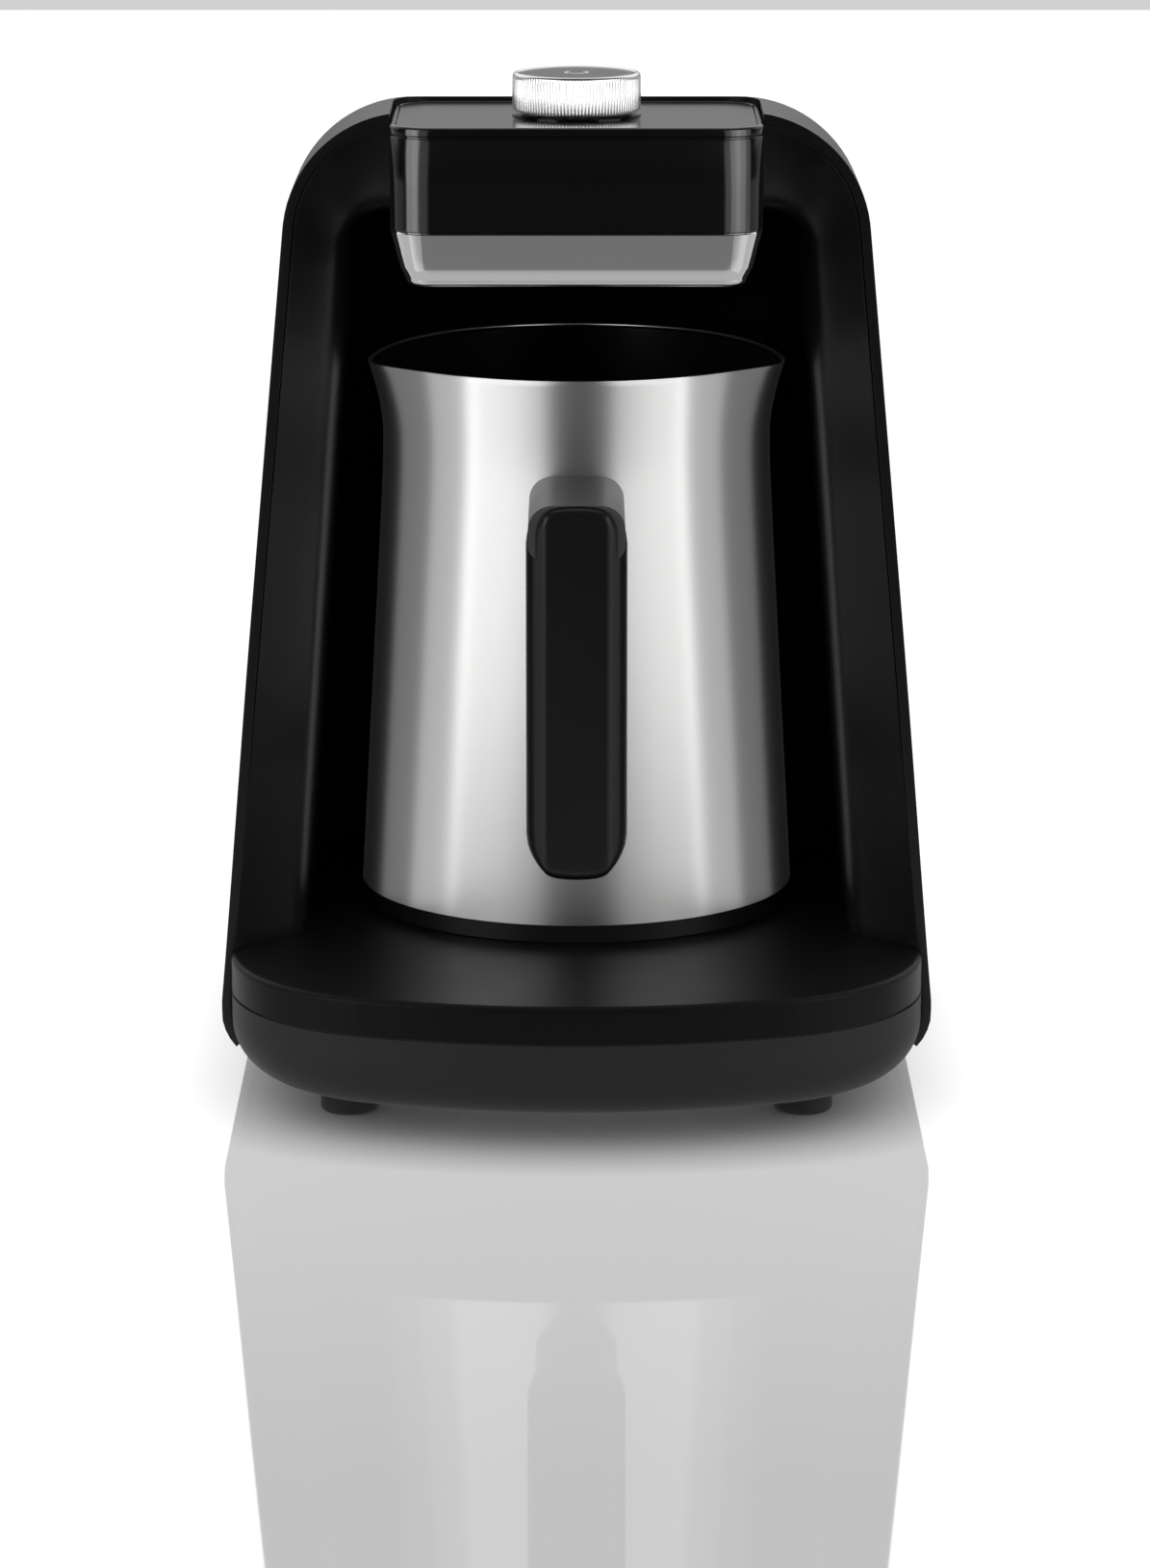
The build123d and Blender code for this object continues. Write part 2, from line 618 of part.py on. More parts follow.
bracket_plate = 1.5
bracket_half = 25.0
bracket = block(-bracket_half, bracket_half, head_rear, head_rear + bracket_plate, ceiling, lug_z + 6)
bracket += block(-bracket_half, bracket_half, head_rear, head_rear + 20, ceiling, ceiling + bracket_plate)
for x, y in bracket_screws:
    bracket -= rod(screw_radius + 0.2, (x, y, ceiling - 1), (x, y, ceiling + 4))
    bracket -= rod(screw_radius + 0.2, (x, head_rear - 1, lug_z), (x, head_rear + 4, lug_z))
save("head_bracket", bracket)
fixings = [screw(x, y, ceiling + bracket_plate, 3.4, up=False) for x, y in bracket_screws]
fixings += [screw_y(x, lug_z, head_rear + bracket_plate, 6, -1) for x, y in bracket_screws]
fixings += [screw(x, y, bay_top - 5, 10) for x, y in sensor_screws]
save("head_screws", *fixings)

control_board = block(-control_width / 2, control_width / 2, control_y - control_half,
                      control_y + control_half, control_z, control_top)
for x, y in control_holes:
    control_board -= rod(screw_radius + 0.1, (x, y, control_z - 1), (x, y, control_top + 1))
save("control_board", control_board)
save("control_screws", *[screw(x, y, control_top, 6, up=False) for x, y in control_holes])
save("underside_screws", *[screw(x, y, plate_low + 3.0, body_z - plate_low) for x, y in skirt_screws])

encoder_top = control_top + 6.6
bush_top = panel_low - 0.2
encoder = block(-6.5, 6.5, head_y - 6.5, head_y + 6.5, control_top, encoder_top)
encoder = fillet(encoder.edges().filter_by(Axis.Z), 0.8)
encoder += rod(shaft_radius + 0.9, (0, head_y, encoder_top), (0, head_y, bush_top))
plunger_low = control_top + 2.0
plunger_top = plunger_low + 1.0
bush_low = plunger_low - press_travel - 0.2
encoder -= rod(shaft_radius + running_clearance, (0, head_y, bush_low), (0, head_y, bush_top + 1))
save("encoder_body", encoder)
save("encoder_plunger", rod(shaft_radius, (0, head_y, plunger_low), (0, head_y, plunger_top)))

led_y = head_front + 12.0
leds = []
for k in (-2, -1, 1, 2):
    led = block(k * 11 - 1.6, k * 11 + 1.6, led_y - 1.4, led_y + 1.4, control_top, control_top + 1.4)
    leds.append(led + rod(1.1, (k * 11, led_y, control_top + 1.4), (k * 11, led_y, panel_low)))
save("status_lights", *leds)
buzzer = rod(5.0, (-24, head_y, control_top), (-24, head_y, control_top + 5.5))
buzzer -= rod(1.0, (-24, head_y, control_top + 4), (-24, head_y, control_top + 7))
save("buzzer", buzzer)

low_path, high_path = shell_wall + gap, shell_wall + gap + ribbon_thick
ribbon = along_x(bay_side(high_path, board_top), *ribbon_x)
ribbon -= along_x(bay_side(low_path, board_top - 1), 0, far)
ribbon_front = head_rear - 9.0
ribbon = ribbon & block(0, far, ribbon_front, far, 0, far)
ribbon += block(*ribbon_x, ribbon_front, ribbon_front + ribbon_thick, ribbon_low, control_z)
save("ribbon_cable", ribbon)

# ---------------------------------------------------------------- knob
cap_top = knob_z + knob_height
knob_ring = rod(knob_radius, (0, head_y, knob_z), (0, head_y, cap_top))
knob_ring = chamfer(knob_ring.faces().sort_by(Axis.Z)[-1].edges(), 0.5)
cap_low = cap_top - cap_recess
cap_radius = knob_radius - 1.6
knob_ring -= rod(cap_radius + 0.05, (0, head_y, cap_low), (0, head_y, cap_top + 1))
knob_ring -= tube(cap_radius - 0.4, 5.0, (0, head_y, knob_z - 1), (0, head_y, cap_low - 1.6))
knob_ring -= rod(shaft_radius + running_clearance, (0, head_y, knob_z - 1), (0, head_y, cap_low - 1.6))
save("knob_ring", knob_ring)
cap = rod(cap_radius, (0, head_y, cap_low), (0, head_y, cap_top - 0.15))
save("knob_cap", cap)
save("knob_shaft", rod(shaft_radius, (0, head_y, plunger_top), (0, head_y, cap_low - 1.6)))

# ---------------------------------------------------------------- pot
def wall_radius(z):
    """Radius of the pot's round wall at height z above the base ring: leaning in to the neck, then
    opening evenly to the rim."""
    neck = pot_foot_radius - pot_wall_lean * neck_height
    if z <= neck_height:
        return pot_foot_radius - pot_wall_lean * z
    share = (z - neck_height) / (pot_height - neck_height)
    return neck + (rim_radius - neck) * share**1.5


def spout(z):
    """How far the two spouts stand out at height z: nothing at the neck, all at the rim."""
    start = neck_height + 6.0
    return 0.0 if z <= start else spout_reach * ((z - start) / (pot_height - start)) ** 1.7


def pot_section(z, inset):
    """One level outline of the pot: a circle with a bell-shaped spout at each side."""
    points = []
    for k in range(32):
        turn = 2 * pi * k / 32
        away = min(abs(turn), abs(turn - pi), abs(turn - 2 * pi))
        bulge = spout(z) * exp(-(degrees(away) / spout_angle) ** 2)
        radius = wall_radius(z) - inset + bulge
        points.append((radius * cos(turn), pot_y + radius * sin(turn)))
    return Pos(0, 0, pot_z + z) * make_face(Spline(*points, periodic=True))


def pot_solid(inset, low, high):
    """The pot's outside, brought in by inset, between two heights above the base ring."""
    levels = [neck_height + (high - neck_height) * k / 4 for k in range(5)]
    cone = loft([pot_section(z, inset) for z in (low, neck_height)], ruled=True)
    return cone + loft([pot_section(z, inset) for z in levels])


skirt_low = base_ring_height
floor_z = pot_z + floor_height
vessel = pot_solid(0, skirt_low, pot_height)
vessel -= pot_solid(pot_sheet, floor_height, pot_height + 0.001)
skirt_radius = wall_radius(skirt_low) - pot_sheet
under = floor_height - pot_sheet
skirt_top_radius = wall_radius(under) - pot_sheet
skirt_room = Cone(skirt_radius, skirt_top_radius, under - skirt_low)
vessel -= Pos(0, pot_y, pot_z + (skirt_low + under) / 2) * skirt_room
vessel = vessel & block(-far, far, -far, far, pot_z + skirt_low, rim_z)
tip = rim_radius + spout_reach
brim_points = [(-tip, rim_z - spout_dip), (-rim_radius * 0.72, rim_z - 0.15), (0, rim_z),
               (rim_radius * 0.72, rim_z - 0.15), (tip, rim_z - spout_dip)]
brim = Spline(*brim_points)
brim_lines = [
    brim,
    Line((tip, rim_z - spout_dip), (tip + 5, rim_z - spout_dip)),
    Line((tip + 5, rim_z - spout_dip), (tip + 5, pot_z)),
    Line((tip + 5, pot_z), (-tip - 5, pot_z)),
    Line((-tip - 5, pot_z), (-tip - 5, rim_z - spout_dip)),
    Line((-tip - 5, rim_z - spout_dip), (-tip, rim_z - spout_dip)),
]
vessel = vessel & along_y(make_face(brim_lines), pot_y - far / 2, pot_y + far / 2)
socket_half = 13.0
socket_low, socket_high = skirt_low, floor_height - pot_sheet - 3.2
window_y = pot_y + pot_foot_radius
vessel -= block(-socket_half - gap, socket_half + gap, window_y - 8, window_y + 5,
                pot_z + socket_low - 1, pot_z + socket_high + gap)
save("pot_vessel", vessel)

ring_outer = wall_radius(skirt_low) - 0.2
ledge_z = pot_z + 2.6
ring_top = pot_z + skirt_low
lip_outer = skirt_radius - 0.35
base_ring = tube(ring_outer, ring_outer - 10, (0, pot_y, ledge_z), (0, pot_y, ring_top))
cover_radius = ring_outer - 3.6
base_ring += tube(ring_outer, cover_radius + 0.1, (0, pot_y, pot_z), (0, pot_y, ledge_z))
base_ring += tube(lip_outer, lip_outer - 2.2, (0, pot_y, ring_top), (0, pot_y, ring_top + 3.6))
base_ring -= block(-socket_half - 0.2, socket_half + 0.2, pot_y, window_y + 5, ring_top, ring_top + 5)
cover_turns = [pi * (5 + 4 * k) / 6 for k in range(3)]
screw_circle = ring_outer - 7.5
cover_screws = [(screw_circle * cos(t), pot_y + screw_circle * sin(t)) for t in cover_turns]
cover_low = pot_z + 0.4
cover = rod(cover_radius, (0, pot_y, cover_low), (0, pot_y, ledge_z))
for x, y in cover_screws:
    base_ring -= rod(screw_radius + running_clearance, (x, y, ledge_z - 1), (x, y, ring_top + 1))
    cover -= rod(screw_radius + 0.2, (x, y, pot_z), (x, y, ledge_z + 1))
    cover -= rod(screw_head_radius + 0.3, (x, y, pot_z), (x, y, cover_low + 1.2))
save("pot_base_ring", base_ring)
save("pot_base_cover", cover)
cover_screw_head = 1.1
cover_fixings = []
for x, y in cover_screws:
    seat = cover_low + 1.2
    fixing = rod(screw_head_radius, (x, y, seat - cover_screw_head), (x, y, seat))
    cover_fixings.append(fixing + rod(screw_radius, (x, y, seat), (x, y, ring_top - 0.1)))
save("pot_base_screws", *cover_fixings)

plate_high = floor_z - pot_sheet
plate_low_z = plate_high - 3.0
plate_radius = pot_foot_radius - 7.0
save("heating_plate", rod(plate_radius, (0, pot_y, plate_low_z), (0, pot_y, plate_high)))
coil_radius, coil_tube = plate_radius - 13.0, 2.5
element = Pos(0, pot_y, plate_low_z - coil_tube) * Torus(coil_radius, coil_tube)
element -= block(-7, 7, pot_y, pot_y + far, 0, plate_low_z + 1)
save("heating_element", element)
save("thermostat", rod(8.0, (0, pot_y - 4, plate_low_z - 5.0), (0, pot_y - 4, plate_low_z))
     + block(-5, 5, pot_y - 7, pot_y - 1, plate_low_z - 6.2, plate_low_z - 5.0))
fuse_link = rod(2.0, (14, pot_y + 8, plate_low_z - 2.0), (14, pot_y + 20, plate_low_z - 2.0))
save("thermal_fuse", fuse_link)
save("temperature_sensor", rod(2.4, (-16, pot_y + 12, plate_low_z - 5.5), (-16, pot_y + 12, plate_low_z)))

socket_front = window_y - 15.5
connector = block(-socket_half, socket_half, socket_front, window_y + 2, ring_top, pot_z + socket_high)
connector = connector & rod(wall_radius(socket_high) - 0.1, (0, pot_y, 0), (0, pot_y, far))
sleeve_radius = pin_radius + pin_clearance
sleeve_outer = sleeve_radius + 0.6
sleeve_front = pin_tip - 1.0
sleeves = []
for x, z in dock_pins:
    connector -= rod(sleeve_outer + 0.02, (x, sleeve_front, z), (x, window_y + 5, z))
    sleeves.append(tube(sleeve_outer, sleeve_radius, (x, sleeve_front, z), (x, window_y - 3.2, z)))
save("pot_connector", connector)
save("connector_sleeves", *sleeves)

# ---------------------------------------------------------------- handle
grip_low = pot_z + handle_base
grip_high = grip_low + handle_height
grip_rear = pot_y - wall_radius(handle_base + handle_height) - finger_room
grip_front = grip_rear - grip_depth
half = handle_width / 2
face_half = inlay_width / 2 + 0.4
grip_section = make_face(Polyline(
    (-face_half, grip_front), (face_half, grip_front), (half, grip_front + 5.5), (half, grip_rear - 5.0),
    (half - 4.5, grip_rear), (-half + 4.5, grip_rear), (-half, grip_rear - 5.0), (-half, grip_front + 5.5),
    (-face_half, grip_front),
))
grip = slab(grip_section, grip_low, grip_high)
face_view = Pos(0, (grip_low + grip_high) / 2) * RectangleRounded(handle_width, handle_height, 7.0)
grip = grip & along_y(face_view, grip_front, grip_rear)
inlay_depth = 1.2
inlay_low, inlay_high = grip_low + 3.5, grip_high - 3.0
inlay_middle = (inlay_low + inlay_high) / 2
inlay_view = Pos(0, inlay_middle) * RectangleRounded(inlay_width, inlay_high - inlay_low, 3.0)
grip -= along_y(inlay_view, grip_front - 1, grip_front + inlay_depth)
handle_fixings = [grip_high - 7.0, grip_low + 9.0]
screw_seat = grip_front + 8.0
for z in handle_fixings:
    grip -= rod(screw_head_radius + 0.4, (0, grip_front, z), (0, screw_seat, z))
    grip -= rod(screw_radius + 0.2, (0, screw_seat - 1, z), (0, grip_rear + 1, z))
save("handle_grip", grip)
inlay = along_y(inlay_view, grip_front, grip_front + inlay_depth - 0.05)
save("handle_inlay", inlay)
save("handle_screws", *[screw_y(0, z, screw_seat, 18, 1) for z in handle_fixings])


def bracket_arm(z_low, z_high, width, corner):
    """An arm from the grip to the pot's wall, its end shaped to the wall."""
    reach = block(-width / 2, width / 2, grip_rear, pot_y, z_low, z_high)
    reach = fillet(reach.edges().filter_by(Axis.Y), corner)
    pilot = rod(screw_radius + running_clearance, (0, grip_rear - 1, (z_low + z_high) / 2),
                (0, grip_rear + 10, (z_low + z_high) / 2))
    return reach - pilot - pot_solid(-0.05, skirt_low, pot_height)


save("handle_upper_bracket", bracket_arm(grip_high - 14.0, grip_high, bracket_width, 4.0))
save("handle_lower_bracket", bracket_arm(grip_low + 3.0, grip_low + 15.0, bracket_width - 3, 3.0))

print("overall", 2 * half_width, inlet_y + flange_depth - base_front, cap_top)
print("box middle in y", (inlet_y + flange_depth + base_front) / 2)
print("rim z", rim_z, "head", band_z, body_z, head_top, "knob", knob_z, cap_top)
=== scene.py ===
# %% [markdown]
# # Electric turkish coffee maker: how it looks
# The machine is a black splayed casing with an open bay, a glossy head with a silver knob, and a
# brushed steel pot with a black grip. The solid model gives every part its place. This lesson lays
# smooth surfaces over the parts that are seen most, gives each part its finish, and lights it.

# %% Load the frame
import json
import math

import bmesh
import bpy
import numpy as np
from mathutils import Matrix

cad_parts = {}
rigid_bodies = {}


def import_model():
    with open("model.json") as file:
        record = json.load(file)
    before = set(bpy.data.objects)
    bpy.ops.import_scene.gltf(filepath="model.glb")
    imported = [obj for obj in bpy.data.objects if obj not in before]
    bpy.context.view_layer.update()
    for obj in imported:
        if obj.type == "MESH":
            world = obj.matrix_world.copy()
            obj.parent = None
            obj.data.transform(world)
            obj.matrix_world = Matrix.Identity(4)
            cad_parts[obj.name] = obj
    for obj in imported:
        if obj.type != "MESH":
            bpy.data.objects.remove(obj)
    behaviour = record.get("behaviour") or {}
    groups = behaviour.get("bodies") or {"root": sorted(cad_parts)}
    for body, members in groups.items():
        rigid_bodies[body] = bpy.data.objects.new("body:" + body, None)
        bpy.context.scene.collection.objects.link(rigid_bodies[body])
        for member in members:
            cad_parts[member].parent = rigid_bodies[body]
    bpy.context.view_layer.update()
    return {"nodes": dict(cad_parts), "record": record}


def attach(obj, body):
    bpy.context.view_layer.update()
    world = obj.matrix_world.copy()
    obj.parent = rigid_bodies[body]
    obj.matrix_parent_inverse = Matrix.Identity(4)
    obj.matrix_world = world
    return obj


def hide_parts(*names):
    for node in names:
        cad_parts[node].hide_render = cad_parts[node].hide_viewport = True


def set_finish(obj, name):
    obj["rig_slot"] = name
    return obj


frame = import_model()
slot_of = {part["node"]: part["material_slot"] for part in frame["record"]["subparts"]}

# %% [markdown]
# ## Tools for surfaces
# Moulded and spun parts are smooth, so each one is worked out as a grid of points: rows that follow
# one another and columns along each row. Sizes are in millimetres here and become metres in the mesh.

# %% From a grid of points to a piece
MILLIMETRE = 0.001


def faces_of_grid(rows, columns, around, first_pole, last_pole):
    """The corner numbers of every face: four neighbours in the grid make one quad, and an end row
    with a pole closes in triangles on that one point."""
    index = np.arange(rows * columns).reshape(rows, columns)
    here = index if around else index[:, :-1]
    beside = np.roll(index, -1, axis=1) if around else index[:, 1:]
    quads = np.stack([here[:-1], beside[:-1], beside[1:], here[1:]], axis=-1).reshape(-1, 4)
    triangles = []
    pole = rows * columns
    if first_pole:
        triangles.append(np.stack([beside[0], here[0], np.full_like(here[0], pole)], axis=-1))
        pole += 1
    if last_pole:
        triangles.append(np.stack([here[-1], beside[-1], np.full_like(here[-1], pole)], axis=-1))
    return quads, np.concatenate(triangles) if triangles else np.zeros((0, 3), int)


def make_piece(name, grid, body, around=True, first_pole=None, last_pole=None, flip=False):
    """A mesh object from a grid (rows, columns, 3) in millimetres, riding on a body of the frame."""
    rows, columns = grid.shape[:2]
    poles = [np.array(pole, float) for pole in (first_pole, last_pole) if pole is not None]
    points = np.concatenate([grid.reshape(-1, 3)] + [pole.reshape(1, 3) for pole in poles])
    quads, triangles = faces_of_grid(
        rows, columns, around, first_pole is not None, last_pole is not None
    )
    if flip:
        quads, triangles = quads[:, ::-1], triangles[:, ::-1]
    sizes = np.concatenate([np.full(len(quads), 4), np.full(len(triangles), 3)])
    mesh = bpy.data.meshes.new(name)
    mesh.vertices.add(len(points))
    mesh.vertices.foreach_set("co", (points * MILLIMETRE).astype(np.float32).ravel())
    mesh.loops.add(int(sizes.sum()))
    corners = np.concatenate([quads.ravel(), triangles.ravel()]).astype(np.int32)
    mesh.loops.foreach_set("vertex_index", corners)
    mesh.polygons.add(len(sizes))
    starts = np.concatenate([[0], np.cumsum(sizes)[:-1]]).astype(np.int32)
    mesh.polygons.foreach_set("loop_start", starts)
    mesh.polygons.foreach_set("use_smooth", np.ones(len(sizes), bool))
    mesh.update(calc_edges=True)
    mesh.validate()
    thing = bpy.data.objects.new(name, mesh)
    bpy.context.scene.collection.objects.link(thing)
    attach(thing, body)
    print(name, "has", len(points), "points and", len(sizes), "faces")
    return thing


# %% Small pieces of mathematics
def rounded_join(a, b, radius):
    """How far outside the rounded edge between two faces a point is, from how far it is outside
    each face: a quarter circle of that radius bridges them."""
    inner = np.minimum(np.maximum(a, b), -radius)
    return inner + np.hypot(np.maximum(a + radius, 0), np.maximum(b + radius, 0))


def ease(t):
    """A smooth step from 0 to 1."""
    t = np.clip(t, 0, 1)
    return t * t * (3 - 2 * t)


def full_turn(count):
    """Angles once round a circle, evenly spaced."""
    return np.linspace(0, 2 * math.pi, count, endpoint=False)


def at(x, y, z):
    """Points from their three coordinates, each of them a number or an array."""
    return np.stack(np.broadcast_arrays(x, y, z), axis=-1)


HALVINGS = 32


def shoot(centres, directions, furthest, outside):
    """Where rays from the centres meet a surface: each ray's length is halved in on again and again
    until outside(x, y, z) changes sign there."""
    near = np.zeros(directions.shape[:-1])
    distant = np.full(directions.shape[:-1], float(furthest))
    for _ in range(HALVINGS):
        middle = (near + distant) / 2
        point = centres + directions * middle[..., None]
        out = outside(point[..., 0], point[..., 1], point[..., 2]) > 0
        distant = np.where(out, middle, distant)
        near = np.where(out, near, middle)
    return centres + directions * near[..., None]


def evenly(points, count):
    """The same line with its points spread evenly along it."""
    steps = np.linalg.norm(np.diff(points, axis=0), axis=1)
    along = np.concatenate([[0], np.cumsum(steps)])
    wanted = np.linspace(0, along[-1], count)
    return np.stack([np.interp(wanted, along, points[:, k]) for k in range(points.shape[1])], axis=1)


# %% What finishes a piece
def sharpen(thing, degrees):
    """Edges sharper than this stay crisp, and all others are shaded smooth."""
    thing.data.set_sharp_from_angle(angle=math.radians(degrees))


def thicken(thing, wall):
    """Gives an open skin its wall, on the side away from the one that is seen."""
    solidify = thing.modifiers.new("wall", "SOLIDIFY")
    solidify.thickness = wall * MILLIMETRE
    solidify.offset = -1.0
    solidify.use_even_offset = True
    return thing


def soften_edges(thing, width):
    """A small round on every edge sharper than 60 degrees."""
    bevel = thing.modifiers.new("soft edges", "BEVEL")
    bevel.width = width * MILLIMETRE
    bevel.segments = 3
    bevel.limit_method = "ANGLE"
    bevel.angle_limit = math.radians(60)
    return thing


def cut_away(thing, cutter):
    """Takes the cutter's shape out of the piece."""
    boolean = thing.modifiers.new("cut", "BOOLEAN")
    boolean.operation = "DIFFERENCE"
    boolean.solver = "MANIFOLD"
    boolean.object = cutter
    bpy.context.view_layer.update()
    baked = bpy.data.meshes.new_from_object(
        thing.evaluated_get(bpy.context.evaluated_depsgraph_get())
    )
    thing.modifiers.clear()
    thing.data = baked
    sharpen(thing, 35)
    print(thing.name, "was cut and now has", len(baked.polygons), "faces")
    return thing


# %% [markdown]
# ## The casing
# The casing is one large black moulding. Its sides and rear lean in by about five degrees, the top
# corners are round, and the top runs down into the rear in one long curve. Shooting rays from a point
# at the bottom of the open front finds that surface everywhere, with one smooth formula for all its
# rounded edges, so the rear corners have no crease.

# %% Sizes of the casing
LEAN = math.atan(0.0919)
BOTTOM, TOP = 8.0, 254.0
HALF_WIDTH, REAR, FRONT = 91.5, 103.0, -48.0
BOTTOM_ROUND, TOP_ROUND = 16.0, 32.0
REAR_CORNER, REAR_ARC = 42.0, 98.0
SKIRT = 12.7
CASING_WALL = 2.5


def leaning_edge(reach, z, inset=0.0):
    """How far out a leaning side is at height z: the line leans in, and touches the bottom round."""
    line = (reach - BOTTOM_ROUND) * math.cos(LEAN) + (BOTTOM + BOTTOM_ROUND) * math.sin(LEAN)
    return (line + BOTTOM_ROUND - inset - z * math.sin(LEAN)) / math.cos(LEAN)


def true_round(a, b, radius, cosine):
    """The same as rounded_join for two faces that aren't square to one another: the cosine is that
    of the angle between their normals, and the round counts in the wedge between the normals."""
    a_in, b_in = a + radius, b + radius
    in_wedge = (a_in > cosine * b_in) & (b_in > cosine * a_in)
    squared = (a_in**2 + b_in**2 - 2 * cosine * a_in * b_in) / (1 - cosine**2)
    return np.where(in_wedge, np.sqrt(np.maximum(squared, 0)) - radius, np.maximum(a, b))


def outside_casing(x, y, z):
    """Distance outside the casing: in side view the rear runs into the top in one long arc; this
    meets the leaning side in a round that is a little larger at the rear than at the top."""
    lower_in = 0.5 * (1 - ease((z - 24) / 100))
    side = (np.abs(x) - leaning_edge(HALF_WIDTH, z) - 0.5 + lower_in) * math.cos(LEAN)
    rear = (y - leaning_edge(REAR, z) - 0.5 + lower_in) * math.cos(LEAN)
    profile = rounded_join(z - TOP, rear, REAR_ARC)
    up, back = np.maximum(z - TOP + REAR_ARC, 0), np.maximum(rear + REAR_ARC, 0)
    facing_up = up / np.maximum(np.hypot(up, back), 0.001)
    radius = TOP_ROUND + (REAR_CORNER - TOP_ROUND) * ease((TOP - 40 - z) / 90)
    rounded = true_round(side, profile, radius, math.sin(LEAN) * facing_up)
    rounded = rounded_join(rounded, BOTTOM - z, BOTTOM_ROUND)
    return np.maximum(rounded, np.abs(x) - HALF_WIDTH + 0.02)


# %% The casing's skin, from the front rim to the foot of the rear
rim_columns, casing_rows = 232, 112
centre = np.array([0.0, FRONT, SKIRT])
sweep = np.linspace(0, math.pi, 3001)
flat_rays = at(-np.cos(sweep), 0, np.sin(sweep))
rim = evenly(shoot(centre, flat_rays, 400, outside_casing), rim_columns)
around_rim = np.arctan2(rim[:, 2] - SKIRT, -rim[:, 0])
dive = np.linspace(0, math.pi / 2, casing_rows + 1)[:-1, None]
rays = at(
    -np.cos(dive) * np.cos(around_rim), np.sin(dive), np.cos(dive) * np.sin(around_rim)
)
skin = shoot(centre, rays, 400, outside_casing)
skin[:, 0, 2] = SKIRT
skin[:, -1, 2] = SKIRT

# %% The wall, with its front rim and lower edge slightly rounded
foot_of_rear = shoot(centre, np.array([[0.0, 1.0, 0.0]]), 400, outside_casing)[0]
casing_shell = make_piece("casing_shell", skin, "housing", around=False, last_pole=foot_of_rear)
thicken(casing_shell, CASING_WALL)
soften_edges(casing_shell, 0.7)
print("rim from", rim.min(0), "to", rim.max(0), "rear foot at", foot_of_rear)

# %% [markdown]
# ## What is cut out of the casing
# The head sits in a notch in the top, and the rear has four screw pockets and the hole for the cord.
# Cutting them with solid shapes keeps every edge crisp, as a mould does.

# %% Outline of the head
HEAD_HALF_WIDTH, HEAD_HALF_DEPTH, HEAD_Y = 46.3, 31.5, -38.5
HEAD_CORNER = 10.5


def head_outline(inset=0.0, per_corner=20, per_side=8):
    """A rounded rectangle seen from above: four quarter circles with straight runs between them,
    every point moved in square to the outline by the inset."""
    radius = HEAD_CORNER - inset
    quarter = np.linspace(0, math.pi / 2, per_corner)
    starts = np.radians([0, 90, 180, 270])
    middle_x = np.array([1, -1, -1, 1]) * (HEAD_HALF_WIDTH - HEAD_CORNER)
    middle_y = np.array([1, 1, -1, -1]) * (HEAD_HALF_DEPTH - HEAD_CORNER)
    turn = starts[:, None] + quarter[None, :]
    corners = np.stack([
        middle_x[:, None] + radius * np.cos(turn),
        HEAD_Y + middle_y[:, None] + radius * np.sin(turn),
    ], axis=-1)
    following = np.roll(corners, -1, axis=0)[:, :1]
    share = np.linspace(0, 1, per_side + 2)[1:-1][None, :, None]
    sides = corners[:, -1:] * (1 - share) + following * share
    return np.concatenate([corners, sides], axis=1).reshape(-1, 2)


def stack_outlines(levels):
    """Rows of the head's outline, one for each (inset, height)."""
    return np.stack([at(*head_outline(inset).T, z) for inset, z in levels])


# %% Cutters
SCREW_PLACES = [(-50.0, 100.0), (50.0, 100.0), (-24.0, 165.0), (24.0, 165.0)]
GLAND_X, GLAND_Z = -45.0, 53.5


def round_bar(x, z, radius, y0, y1, count=40):
    """Two rings of points along Y and the poles that close them."""
    turn = full_turn(count)
    ring = at(x + radius * np.cos(turn), 0, z + radius * np.sin(turn))
    return np.stack([ring + [0, y0, 0], ring + [0, y1, 0]]), (x, y0, z), (x, y1, z)


def cutter_from(name, grid, first_pole, last_pole, flip=False):
    """A closed solid that only cuts and is thrown away afterwards."""
    return make_piece(name, grid, "housing", first_pole=first_pole, last_pole=last_pole, flip=flip)


NOTCH_LOW, NOTCH_HIGH, NOTCH_ROOM = 225.5, 300.0, 0.3
POCKET_RADIUS, GLAND_RADIUS = 3.4, 9.0
BAR_START, BAR_END = 60, 130
head_cutter = cutter_from(
    "head_cutter", stack_outlines([(-NOTCH_ROOM, NOTCH_LOW), (-NOTCH_ROOM, NOTCH_HIGH)]),
    (0, HEAD_Y, NOTCH_LOW), (0, HEAD_Y, NOTCH_HIGH),
)
bar_cutters = []
for number, (x, z) in enumerate(SCREW_PLACES):
    bar = round_bar(x, z, POCKET_RADIUS, BAR_START, BAR_END)
    bar_cutters.append(cutter_from(f"pocket_cutter_{number}", *bar, flip=True))
bar = round_bar(GLAND_X, GLAND_Z, GLAND_RADIUS, BAR_START, BAR_END)
bar_cutters.append(cutter_from("gland_cutter", *bar, flip=True))


def joined(name, things):
    """Several cutters as one object."""
    with bpy.context.temp_override(active_object=things[0], selected_editable_objects=things):
        bpy.ops.object.join()
    things[0].name = name
    return things[0]


casing_cutter = joined("casing_cutter", bar_cutters)
cut_away(casing_shell, casing_cutter)
cut_away(casing_shell, head_cutter)
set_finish(casing_shell, "casing_black")
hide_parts("outer_shell")

# %% [markdown]
# ## The screw pockets and the pad of the cord inlet
# Behind each pocket the moulding has a cup with a floor for the screw's head. The cord inlet has a
# round pad. Both are turned shapes: a section carried round an axis along Y.


# %% Shapes turned about an axis along Y
def turned_along_y(x, z, section, count=48):
    """A section of (radius, y) points carried once round the axis through (x, z)."""
    turn = full_turn(count)
    section = np.array(section, float)
    radius, y = section[:, :1], section[:, 1:]
    return at(x + radius * np.cos(turn), y, z + radius * np.sin(turn))


